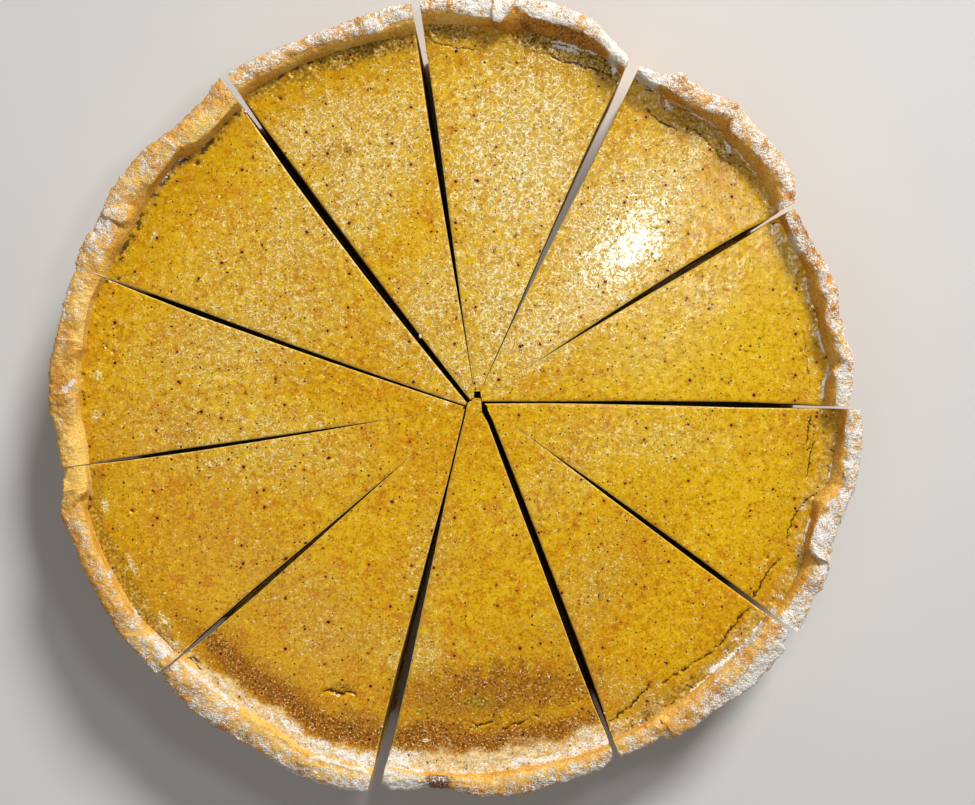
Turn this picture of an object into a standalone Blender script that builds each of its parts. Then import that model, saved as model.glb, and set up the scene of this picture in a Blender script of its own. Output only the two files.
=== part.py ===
"""A round pumpkin pie in a shortcrust shell, cut in eleven slices that lie a knife's width apart.

Each slice is two solids: the pastry (base, leaning wall and broad uneven lip) and the filling in it.
"""

import math

import bmesh
import bpy
import numpy as np

for old in list(bpy.data.objects):
    bpy.data.objects.remove(old, do_unlink=True)

MM = 0.001

# Plan, measured from above in steps of this size at the lip, right and down
STEP = 0.345 * MM
MIDDLE = (456.1, 396.5)

# Height above the lip that the plan is measured from, so that lower lines look nearer the middle
SEEN_FROM = 450 * MM

# Heights and thicknesses
BASE_THICK = 4.2 * MM
FILLING_LEVEL = 28.2 * MM
LIP_LEVEL = 34.8 * MM
TOUCH_GAP = 0.3 * MM

# Slow waves of the lip's crest round the pie: waves in a turn, height in mm, and where they start
LIP_WAVES = ((2, 0.7, 0.6), (5, 0.45, 2.0), (9, 0.3, 0.0))

# Slow swells of the filling's surface: height, and their widths along x and y
BROAD_SWELL = (0.35 * MM, 23 * MM, 29 * MM)
SLANTED_SWELL = (0.22 * MM, 11 * MM, 15 * MM)
SWELL_STARTS = (0.5, -0.3)

# Powers of the share of the way out: how late the swells die away, and how late the climb starts
SWELL_FADE = 6
CLIMB_START = 12

# Base and wall
BASE_RADIUS = 123.0 * MM
BASE_SHIFT = (1.5 * MM, 2.0 * MM)
WALL_THICK = 5.0 * MM
FOOT_ROUND = 1.4 * MM
FOOT_OUT = 0.2 * MM

# Inside corner of the shell: how far in from the foot it starts and ends, and how high it rises
CORNER_START = 9.4 * MM
CORNER_END = 6.4 * MM
CORNER_RISE = 6.4 * MM

# Where the inside of the wall turns steeper: its height, and how far in from the filling's edge
STEEP_LEVEL = 20.0 * MM
STEEP_IN = 2.2 * MM

# Outside of the wall: height, and how far out from the wall's line, both in mm
WALL_OUTSIDE = ((27.2, 0.3), (22.5, -0.9))
LEAN_LEVEL = 10.5 * MM
LEAN_SHARE = 0.4

# Section of the lip, from the filling outwards: how far in from the edge as a share of the lip's
# width, drop below the crest in mm, how far out a pleat is read, and its shares of rise and push
LIP_SECTION = (
    (1.0, 0.7, 0.0, 1.0, 1.0),
    (0.7, 0.0, 0.35, 1.0, 0.6),
    (0.32, 0.5, 0.35, 0.8, 0.0),
    (0.08, 1.5, 1.0, 0.6, 0.0),
    (0.0, 2.9, 1.0, 0.4, 0.0),
)
LIP_THICK = 4.7 * MM
LIP_UNDERCUT = 0.6 * MM
LIP_LEAST = 1.4 * MM

# Middle of the inner face: its height as a share of the way up, and a pleat's shares of rise and push
FACE_RISE = 0.55
FACE_PLEAT = (0.3, 0.4)

# Gaps that the filling keeps to the pastry, at its edge and along the leaning wall
EDGE_GAP = 0.4 * MM
WALL_GAP = 0.42 * MM

# Turning and cutting
TURN_STEPS = 216
TURN_MERGE = 0.05 * MM
FILLING_RINGS = (0.0, 0.45, 0.75, 0.9, 0.965, 1.0)
CUTTER_LOW = -10 * MM
CUTTER_HIGH = 60 * MM
CUTTER_REACH = 40 * STEP

# Width that the pastry's sloping inner face looks in mm, at bearings in degrees anticlockwise
# from the right
FACE_WIDTHS = (
    (-20, 3.0),
    (14, 3.2),
    (30, 3.4),
    (50, 4.2),
    (72, 4.2),
    (80, 5.2),
    (90, 4.0),
    (108, 4.6),
    (125, 3.2),
    (152, 2.8),
    (200, 2.6),
    (235, 2.4),
    (270, 2.0),
    (290, 2.2),
    (305, 3.0),
    (320, 3.6),
    (340, 3.0),
)
FACE_LEAST = 0.8 * MM
FACE_MOST = 0.4

# Least width of the rim, from the filling's edge to the lip's edge
RIM_LEAST = 2.4 * MM

# How far the filling climbs the pastry in mm, at bearings likewise
CLIMBS = (
    (-20, 1.6),
    (40, 0.9),
    (110, 0.7),
    (160, 1.4),
    (210, 2.2),
    (270, 2.9),
    (310, 2.3),
    (340, 1.6),
)

# Pleats where the pastry laps over itself: bearing, rise and push towards the filling in mm,
# width in degrees (a minus laps the other way) and how far the step leans across the lip
PLEATS = (
    (84.5, 1.5, 1.4, -4.5, 1.0),
    (47.0, 0.9, 1.2, -9.0, 1.5),
    (10.5, 1.2, 1.0, -6.0, -1.0),
    (-24.5, 1.5, 1.9, 10.0, -3.0),
    (-57.0, 0.5, 0.6, 8.0, 2.0),
    (-87.0, 0.9, 0.8, -6.0, 2.0),
    (-128.0, 0.6, 0.5, 9.0, 2.0),
    (195.0, 1.7, 1.3, -7.0, 2.5),
    (179.0, 1.4, 1.0, -4.5, 2.5),
    (172.5, 1.5, 1.2, -4.0, 2.0),
    (152.0, 1.6, 1.4, 6.0, -2.0),
    (136.5, 1.2, 1.6, 10.0, -4.0),
    (101.0, 1.0, 0.8, 6.0, 1.5),
)
PLEAT_FALL = 1.5

# Knife cuts, clockwise from the one left of the top: inner end, outer end, sideways bow,
# and the gap at each station on the way out
STATIONS = (0.0, 0.2, 0.4, 0.7, 0.87, 0.94, 1.0)
CUTS = (
    ((474.0, 391.3), (415.5, 5.0), -0.9, (1.0, 1.6, 4.4, 8.6, 8.4, 8.6, 8.6)),
    ((480.3, 391.3), (631.0, 70.0), -1.2, (1.0, 1.5, 4.8, 11.0, 12.5, 12.5, 12.3)),
    ((481.5, 397.5), (790.0, 208.0), -2.7, (1.0, 1.2, 3.2, 6.9, 6.5, 2.4, 5.2)),
    ((484.5, 402.5), (852.0, 408.0), -1.9, (2.2, 2.2, 4.0, 6.0, 4.2, 2.4, 2.2)),
    ((487.3, 406.4), (796.0, 634.0), -0.7, (1.0, 1.2, 3.7, 5.7, 4.2, 2.7, 4.8)),
    ((490.0, 421.2), (616.0, 754.0), -0.6, (5.4, 7.0, 7.5, 9.4, 7.5, 4.8, 5.5)),
    ((465.6, 408.6), (374.0, 790.0), 0.0, (1.7, 2.1, 6.9, 12.7, 13.9, 11.0, 12.3)),
    ((463.2, 409.8), (162.0, 672.0), -0.6, (1.0, 1.0, 2.3, 6.5, 5.2, 2.0, 2.2)),
    ((462.6, 407.2), (64.0, 467.5), -1.8, (1.0, 1.0, 2.3, 4.3, 3.1, 1.0, 1.2)),
    ((464.8, 406.2), (78.0, 267.4), -2.6, (1.6, 2.6, 3.8, 5.5, 2.8, 1.0, 1.0)),
    ((468.3, 401.2), (224.5, 77.0), -3.4, (4.6, 6.7, 8.8, 9.5, 7.0, 6.9, 7.6)),
)

# Blunt points of slices, between the inner ends of their two cuts
BLUNT_TIPS = {
    2: ((480.9, 396.6),),
    3: ((482.0, 401.0),),
    5: ((487.7, 409.8),),
    6: ((479.0, 408.8), (480.6, 402.8), (479.8, 398.9), (474.6, 398.7), (471.7, 401.3),
        (467.8, 403.8)),
    11: ((474.0, 397.1),),
}

# Radii in mm at equal turns across each slice, clockwise: the lip's outer edge
RIM_RADII = (
    (137.5, 138.0, 139.6, 138.5, 129.5),
    (129.0, 135.2, 139.6, 139.4, 134.5),
    (133.2, 134.6, 135.6, 137.4, 135.2),
    (139.9, 141.1, 139.4, 142.4, 143.8),
    (141.8, 143.4, 140.9, 139.0, 137.0),
    (135.0, 138.5, 138.8, 135.4, 136.5),
    (140.0, 141.6, 140.1, 141.2, 139.0),
    (140.5, 142.0, 141.2, 141.8, 137.4),
    (138.0, 139.8, 140.9, 139.3, 138.4),
    (138.9, 137.7, 137.9, 134.0, 137.0),
    (136.0, 135.6, 134.8, 135.7, 136.9),
)

# and how far out the line looks where the filling meets the pastry
SHORE_RADII = (
    (128.3, 128.4, 125.5),
    (126.3, 130.0, 127.0),
    (126.8, 129.2, 127.5),
    (132.8, 131.2, 133.6),
    (134.3, 130.6, 130.8),
    (131.2, 130.6, 130.3),
    (131.5, 131.0, 129.6),
    (131.0, 133.4, 129.6),
    (128.5, 130.0, 127.6),
    (127.4, 126.4, 124.2),
    (125.6, 125.4, 126.2),
)


def plan_point(right, down):
    """A measured point as x and y in metres, with the pie's middle at the origin."""
    return (right - MIDDLE[0]) * STEP, (MIDDLE[1] - down) * STEP


def turn_apart(bearing, middle):
    """Signed angle in degrees from one bearing to another, within half a turn."""
    return (bearing - middle + 180.0) % 360.0 - 180.0


def cut_side(number, side):
    """Plan points of one side of a cut, going outwards: side is +1 clockwise, -1 anticlockwise."""
    inner, outer, bow, gaps = CUTS[(number - 1) % len(CUTS)]
    inner = np.array(inner)
    along = np.array(outer) - inner
    length = math.hypot(along[0], along[1])
    ahead = along / length
    across = np.array((-ahead[1], ahead[0]))
    points = []
    for share, gap in zip(STATIONS, gaps):
        shift = bow * 4.0 * share * (1.0 - share) + side * gap / 2
        points.append(inner + along * share + across * shift)
    points.append(points[-1] + ahead * CUTTER_REACH / STEP)
    return [plan_point(*point) for point in points]


def slice_plan(number):
    """Closed outline of the space between two cuts, from one outer end to the other."""
    tips = [plan_point(*tip) for tip in BLUNT_TIPS.get(number, ())]
    return cut_side(number, 1)[::-1] + tips + cut_side(number + 1, -1)


def rim_bearing(number):
    """Bearing in degrees of the outer end of a cut."""
    x, y = plan_point(*CUTS[(number - 1) % len(CUTS)][1])
    return math.degrees(math.atan2(y, x))


def across(number, values, bearing):
    """A size given at equal turns across a slice, joined by a smooth curve, in metres."""
    start = rim_bearing(number)
    span = (start - rim_bearing(number + 1)) % 360.0
    place = np.clip(turn_apart(start, bearing) / span, 0.0, 1.0) * (len(values) - 1)
    first = np.minimum(place.astype(int), len(values) - 2)
    part = place - first
    sizes = np.array(values)
    slopes = np.gradient(sizes)
    leave = (1.0 + 2.0 * part) * (1.0 - part) ** 2 * sizes[first]
    leave = leave + part * (1.0 - part) ** 2 * slopes[first]
    arrive = part**2 * (3.0 - 2.0 * part) * sizes[first + 1]
    arrive = arrive - part**2 * (1.0 - part) * slopes[first + 1]
    return (leave + arrive) * MM


def listed(table, bearing):
    """A listed size in metres at each bearing, straight between the listed ones."""
    rows = np.array(table, dtype=float)
    first = rows[0, 0]
    rows = np.vstack([rows, rows[:1] + np.array([[360.0, 0.0]])])
    return np.interp((np.asarray(bearing) - first) % 360.0 + first, rows[:, 0], rows[:, 1]) * MM


def rim_lines(number, bearing):
    """Radii of the outer edge and of the filling's edge, and the width of the inner face.

    The filling's edge lies below the lip, so it is farther out than it looks from above.
    """
    edge = across(number, RIM_RADII[number - 1], bearing)
    looks = across(number, SHORE_RADII[number - 1], bearing)
    drop = LIP_LEVEL - FILLING_LEVEL - listed(CLIMBS, bearing)
    shore = np.minimum(looks * (1.0 + drop / SEEN_FROM), edge - RIM_LEAST)
    face = np.maximum(listed(FACE_WIDTHS, bearing) - (shore - looks), FACE_LEAST)
    face = np.minimum(face, FACE_MOST * (edge - shore))
    return edge, shore, face


def base_radius(bearing):
    """Radius from the pie's middle of the base circle, whose own middle lies a little to one side."""
    turn = np.radians(bearing)
    ahead = BASE_SHIFT[0] * np.cos(turn) + BASE_SHIFT[1] * np.sin(turn)
    return BASE_RADIUS + ahead


def pleat_shape(bearing, out_share):
    """Rise and inward push of the pleats: a sharp step on one side, falling away on the other."""
    rise = np.zeros(np.shape(bearing))
    push = np.zeros(np.shape(bearing))
    for start, height, shove, width, lean in PLEATS:
        past = turn_apart(bearing, start + lean * out_share) / width
        inside = (past >= 0) & (past <= 1)
        fall = np.where(inside, 1.0 - past, 0.0) ** PLEAT_FALL
        rise = rise + height * MM * fall
        push = push + shove * MM * fall
    return rise, push


def lip_level(bearing):
    """Height of the lip's crest, which waves gently round the pie."""
    turn = np.radians(bearing)
    wave = sum(height * np.sin(count * turn + start) for count, height, start in LIP_WAVES)
    return LIP_LEVEL + wave * MM


def filling_level(x, y, reach):
    """Height of the filling: nearly level with slow swells, climbing a little at the pastry."""
    bearing = np.degrees(np.arctan2(y, x))
    height, width_x, width_y = BROAD_SWELL
    swell = height * np.sin(x / width_x + SWELL_STARTS[0])
    swell = swell * np.cos(y / width_y + SWELL_STARTS[1])
    height, width_x, width_y = SLANTED_SWELL
    swell = swell + height * np.sin(x / width_x - y / width_y)
    calm = 1.0 - reach**SWELL_FADE
    return FILLING_LEVEL + swell * calm + listed(CLIMBS, bearing) * reach**CLIMB_START


def pastry_profile(number, bearing):
    """Radius and height of each profile point of the pastry at each bearing, top middle first."""
    edge, shore, face = rim_lines(number, bearing)
    lip = edge - shore - face
    wall = np.minimum(shore + WALL_THICK, edge - LIP_LEAST)
    foot = base_radius(bearing)
    crest = lip_level(bearing)
    level = FILLING_LEVEL + listed(CLIMBS, bearing)
    flat = np.zeros(np.shape(bearing))
    points = [
        (flat, flat + BASE_THICK),
        (foot - CORNER_START, flat + BASE_THICK),
        (foot - CORNER_END, flat + CORNER_RISE),
        (shore - STEEP_IN, flat + STEEP_LEVEL),
        (shore, level),
    ]
    rise, push = pleat_shape(bearing, 0.0)
    middle = level + FACE_RISE * (crest - level)
    points.append((shore + face / 2 - FACE_PLEAT[1] * push, middle + FACE_PLEAT[0] * rise))
    for inward, drop, out_share, rise_share, push_share in LIP_SECTION:
        rise, push = pleat_shape(bearing, out_share)
        radius = edge - inward * lip - push_share * push
        points.append((radius, crest - drop * MM + rise_share * rise))
    points.append((edge - LIP_UNDERCUT, crest - LIP_THICK))
    for height, outward in WALL_OUTSIDE:
        points.append((wall + outward * MM, flat + height * MM))
    points.append((foot + LEAN_SHARE * (wall - foot), flat + LEAN_LEVEL))
    points.append((foot + FOOT_OUT, flat + FOOT_ROUND))
    points.append((foot - FOOT_ROUND, flat))
    points.append((flat, flat))
    return points


def filling_profile(number, bearing):
    """Radius and height of each profile point of the filling at each bearing, top middle first."""
    shore = rim_lines(number, bearing)[1]
    foot = base_radius(bearing)
    flat = np.zeros(np.shape(bearing))
    turn = np.radians(bearing)
    floor = BASE_THICK + TOUCH_GAP
    points = []
    for reach in FILLING_RINGS:
        radius = (shore - EDGE_GAP) * reach
        height = filling_level(radius * np.cos(turn), radius * np.sin(turn), reach)
        points.append((radius, height - TOUCH_GAP * (reach == 1.0)))
    points.append((shore - STEEP_IN - WALL_GAP, flat + STEEP_LEVEL))
    points.append((foot - CORNER_END - WALL_GAP, flat + CORNER_RISE + TOUCH_GAP))
    points.append((foot - CORNER_START - TOUCH_GAP, flat + floor))
    points.append((flat, flat + floor))
    return points


def collection(name):
    """A new collection in the scene."""
    made = bpy.data.collections.new(name)
    bpy.context.scene.collection.children.link(made)
    return made


def material(name, colour, roughness):
    """A plain Principled material."""
    made = bpy.data.materials.new(name)
    made.use_nodes = True
    shader = made.node_tree.nodes["Principled BSDF"]
    shader.inputs["Base Color"].default_value = (*colour, 1.0)
    shader.inputs["Roughness"].default_value = roughness
    shader.inputs["Metallic"].default_value = 0.0
    return made


def turned_mesh(name, profile_of):
    """The profile of the first slice turned all the way round with a Screw, as a plain mesh."""
    start = profile_of(1, np.zeros(1))
    points = [(float(radius[0]), 0.0, float(height[0])) for radius, height in start]
    mesh = bpy.data.meshes.new(name)
    mesh.from_pydata(points, [(i, i + 1) for i in range(len(points) - 1)], [])
    obj = bpy.data.objects.new(name, mesh)
    helpers.objects.link(obj)
    screw = obj.modifiers.new("Turn", "SCREW")
    screw.steps = TURN_STEPS
    screw.render_steps = TURN_STEPS
    screw.use_merge_vertices = True
    screw.merge_threshold = TURN_MERGE
    screw.use_smooth_shade = False
    graph = bpy.context.evaluated_depsgraph_get()
    turned = bpy.data.meshes.new_from_object(obj.evaluated_get(graph))
    bpy.data.objects.remove(obj, do_unlink=True)
    return turned, np.array([(p[0], p[2]) for p in points])


def shaped_copy(turned, start, number, profile_of):
    """A copy of the turned mesh with every point moved to the slice's own profile at its bearing."""
    mesh = turned.copy()
    places = np.empty(len(mesh.vertices) * 3)
    mesh.vertices.foreach_get("co", places)
    places = places.reshape(-1, 3)
    radius = np.hypot(places[:, 0], places[:, 1])
    apart = np.hypot(radius[:, None] - start[None, :, 0], places[:, 2, None] - start[None, :, 1])
    which = apart.argmin(axis=1)
    bearing = np.degrees(np.arctan2(places[:, 1], places[:, 0]))
    shaped = profile_of(number, bearing)
    radii = np.array([pair[0] for pair in shaped])[which, np.arange(len(which))]
    heights = np.array([pair[1] for pair in shaped])[which, np.arange(len(which))]
    turn = np.radians(bearing)
    places = np.stack([radii * np.cos(turn), radii * np.sin(turn), heights], axis=1)
    mesh.vertices.foreach_set("co", places.reshape(-1))
    work = bmesh.new()
    work.from_mesh(mesh)
    bmesh.ops.triangulate(work, faces=work.faces)
    bmesh.ops.recalc_face_normals(work, faces=work.faces)
    work.to_mesh(mesh)
    work.free()
    return mesh


def wedge_cutter(number):
    """An upright prism over the plan of one slice, reaching past the pie on every side."""
    work = bmesh.new()
    corners = [work.verts.new((x, y, CUTTER_LOW)) for x, y in slice_plan(number)]
    floor = work.faces.new(corners)
    grown = bmesh.ops.extrude_face_region(work, geom=[floor])
    lifted = [item for item in grown["geom"] if isinstance(item, bmesh.types.BMVert)]
    bmesh.ops.translate(work, verts=lifted, vec=(0.0, 0.0, CUTTER_HIGH - CUTTER_LOW))
    bmesh.ops.recalc_face_normals(work, faces=work.faces)
    name = f"wedge_{number:02d}"
    mesh = bpy.data.meshes.new(name)
    work.to_mesh(mesh)
    work.free()
    obj = bpy.data.objects.new(name, mesh)
    helpers.objects.link(obj)
    obj.hide_render = True
    obj.display_type = "WIRE"
    return obj


def add_slice_part(name, mesh, cutter, finish):
    """One solid of a slice: the shaped ring kept only inside the slice's wedge."""
    obj = bpy.data.objects.new(name, mesh)
    pie.objects.link(obj)
    mesh.materials.clear()
    mesh.materials.append(finish)
    keep = obj.modifiers.new("Slice", "BOOLEAN")
    keep.operation = "INTERSECT"
    keep.solver = "EXACT"
    keep.object = cutter
    return obj


pie = collection("pumpkin_pie")
helpers = collection("cutters")

crust_finish = material("baked_crust", (0.72, 0.46, 0.20), 0.75)
filling_finish = material("pumpkin_filling", (0.70, 0.37, 0.02), 0.4)

pastry_ring, pastry_start = turned_mesh("pastry_ring", pastry_profile)
filling_ring, filling_start = turned_mesh("filling_ring", filling_profile)

for number in range(1, len(CUTS) + 1):
    cutter = wedge_cutter(number)
    pastry = shaped_copy(pastry_ring, pastry_start, number, pastry_profile)
    add_slice_part(f"crust_{number:02d}", pastry, cutter, crust_finish)
    filling = shaped_copy(filling_ring, filling_start, number, filling_profile)
    add_slice_part(f"filling_{number:02d}", filling, cutter, filling_finish)
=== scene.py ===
"""The looks of a pumpkin pie that is cut in eleven slices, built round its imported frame."""

import math

import bpy
import numpy as np
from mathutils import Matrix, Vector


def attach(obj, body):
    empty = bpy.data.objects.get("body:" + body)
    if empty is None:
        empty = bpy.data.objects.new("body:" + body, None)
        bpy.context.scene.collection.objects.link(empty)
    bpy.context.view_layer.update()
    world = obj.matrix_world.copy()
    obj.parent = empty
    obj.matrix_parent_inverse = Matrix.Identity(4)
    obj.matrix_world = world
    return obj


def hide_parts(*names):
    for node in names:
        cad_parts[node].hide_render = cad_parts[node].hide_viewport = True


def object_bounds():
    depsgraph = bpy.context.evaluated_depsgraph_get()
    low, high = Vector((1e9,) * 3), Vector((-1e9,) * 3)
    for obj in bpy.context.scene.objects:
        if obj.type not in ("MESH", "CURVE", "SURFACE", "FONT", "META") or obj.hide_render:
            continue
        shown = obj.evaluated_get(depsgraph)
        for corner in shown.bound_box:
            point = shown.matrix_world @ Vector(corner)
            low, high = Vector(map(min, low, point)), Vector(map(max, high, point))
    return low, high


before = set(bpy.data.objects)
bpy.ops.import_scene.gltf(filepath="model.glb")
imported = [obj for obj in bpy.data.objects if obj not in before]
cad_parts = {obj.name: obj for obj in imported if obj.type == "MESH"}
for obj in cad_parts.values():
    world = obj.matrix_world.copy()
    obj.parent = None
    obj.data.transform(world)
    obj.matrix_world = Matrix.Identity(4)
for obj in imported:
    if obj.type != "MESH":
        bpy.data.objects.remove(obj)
cad_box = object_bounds()


# Pastry of the slices: shortcrust rolled by hand, laid in a tin and folded over at the rim in a
# broad uneven lip. It is baked golden, turned out, dusted with icing sugar and cut with the filling.
# Sizes are in mm, and the plan is read from above in steps of STEP, right and down.

MM = 0.001
STEP = 0.345
MIDDLE = (456.1, 396.5)
SLICES = 11
BASE_THICK = 4.2
FILLING_LEVEL = 28.2
LIP_LEVEL = 34.8
PLAN_LEVEL = 32.0
SEEN_FROM = 450.0
SEEN_MIDDLE = (487.5, 402.5)
LIP_WAVES = ((2, 0.7, 0.6), (5, 0.45, 2.0), (9, 0.3, 0.0))
BASE_RADIUS = 123.0
BASE_SHIFT = (1.5, 2.0)
WALL_THICK = 5.0
RIM_LEAST = 2.4
LIP_LEAST = 1.4
FACE_LEAST = 0.5

# How far the filling climbs the pastry, by bearing in degrees
CLIMBS = (
    (-20, 1.6), (40, 0.9), (110, 0.7), (160, 1.4), (210, 2.2), (270, 2.9), (310, 2.3),
)

# Pleats where the pastry laps over itself: bearing, rise, width in degrees (a minus laps the other
# way) and how far the step leans across the lip
PLEATS = (
    (84.6, 1.3, -3.4, 0.2), (45.1, 1.1, -7.0, 1.2), (12.3, 0.9, -3.0, 0.6), (-23.7, 1.4, 9.0, -1.2),
    (-57.6, 1.0, 7.0, 0.6), (-89.0, 0.9, -6.0, 3.0), (-114.0, 0.5, 9.0, 2.0), (-165.6, 1.6, 7.0, -2.4),
    (-180.0, 1.4, 5.0, -1.6), (-187.2, 1.5, 6.0, -3.2), (-207.0, 1.0, -4.0, -0.2),
    (-222.4, 1.2, 8.0, 2.0), (-258.6, 0.9, 5.0, 1.5),
)
PLEAT_FALL = 1.5

# Knife cuts, clockwise from the one left of the top: inner end, outer end, sideways bow, and the
# gap at each station on the way out, in steps
STATIONS = (0.0, 0.2, 0.4, 0.7, 0.87, 0.94, 1.0)
CUTS = (
    ((474.0, 391.3), (415.5, 5.0), -0.9, (0.3, 1.6, 4.4, 8.6, 8.4, 8.6, 8.6)),
    ((480.3, 391.3), (631.0, 70.0), -1.2, (0.3, 1.5, 4.8, 11.0, 12.5, 12.5, 12.3)),
    ((481.5, 397.5), (790.0, 208.0), -2.7, (0.0, 0.4, 3.2, 6.9, 6.5, 2.4, 5.2)),
    ((484.5, 402.5), (852.0, 408.0), -1.9, (2.2, 2.2, 4.0, 6.0, 4.2, 2.4, 2.2)),
    ((487.3, 406.4), (796.0, 634.0), -0.7, (0.0, 0.7, 3.7, 5.7, 4.2, 2.7, 4.8)),
    ((490.0, 421.2), (616.0, 754.0), -0.6, (5.4, 7.0, 7.5, 9.4, 7.5, 4.8, 5.5)),
    ((465.6, 408.6), (374.0, 790.0), 0.0, (1.7, 2.1, 6.9, 12.7, 13.9, 11.0, 12.3)),
    ((463.2, 409.8), (162.0, 672.0), -0.6, (0.0, 0.4, 2.3, 6.5, 5.2, 2.0, 2.2)),
    ((462.6, 407.2), (64.0, 467.5), -1.8, (0.0, 0.3, 2.3, 4.3, 3.1, 1.0, 1.2)),
    ((464.8, 406.2), (78.0, 267.4), -2.6, (1.6, 2.6, 3.8, 5.5, 2.8, 1.0, 1.0)),
    ((468.3, 401.2), (224.5, 77.0), -3.4, (4.6, 6.7, 8.8, 9.5, 7.0, 6.9, 7.6)),
)
BLUNT_TIPS = {
    2: ((480.9, 396.6),),
    3: ((482.0, 401.0),),
    5: ((487.7, 409.8),),
    6: ((479.4, 408.2), (481.3, 402.6), (480.4, 398.1), (474.3, 397.9), (471.0, 400.5),
        (467.2, 403.4)),
    11: ((474.0, 397.1),),
}

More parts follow.
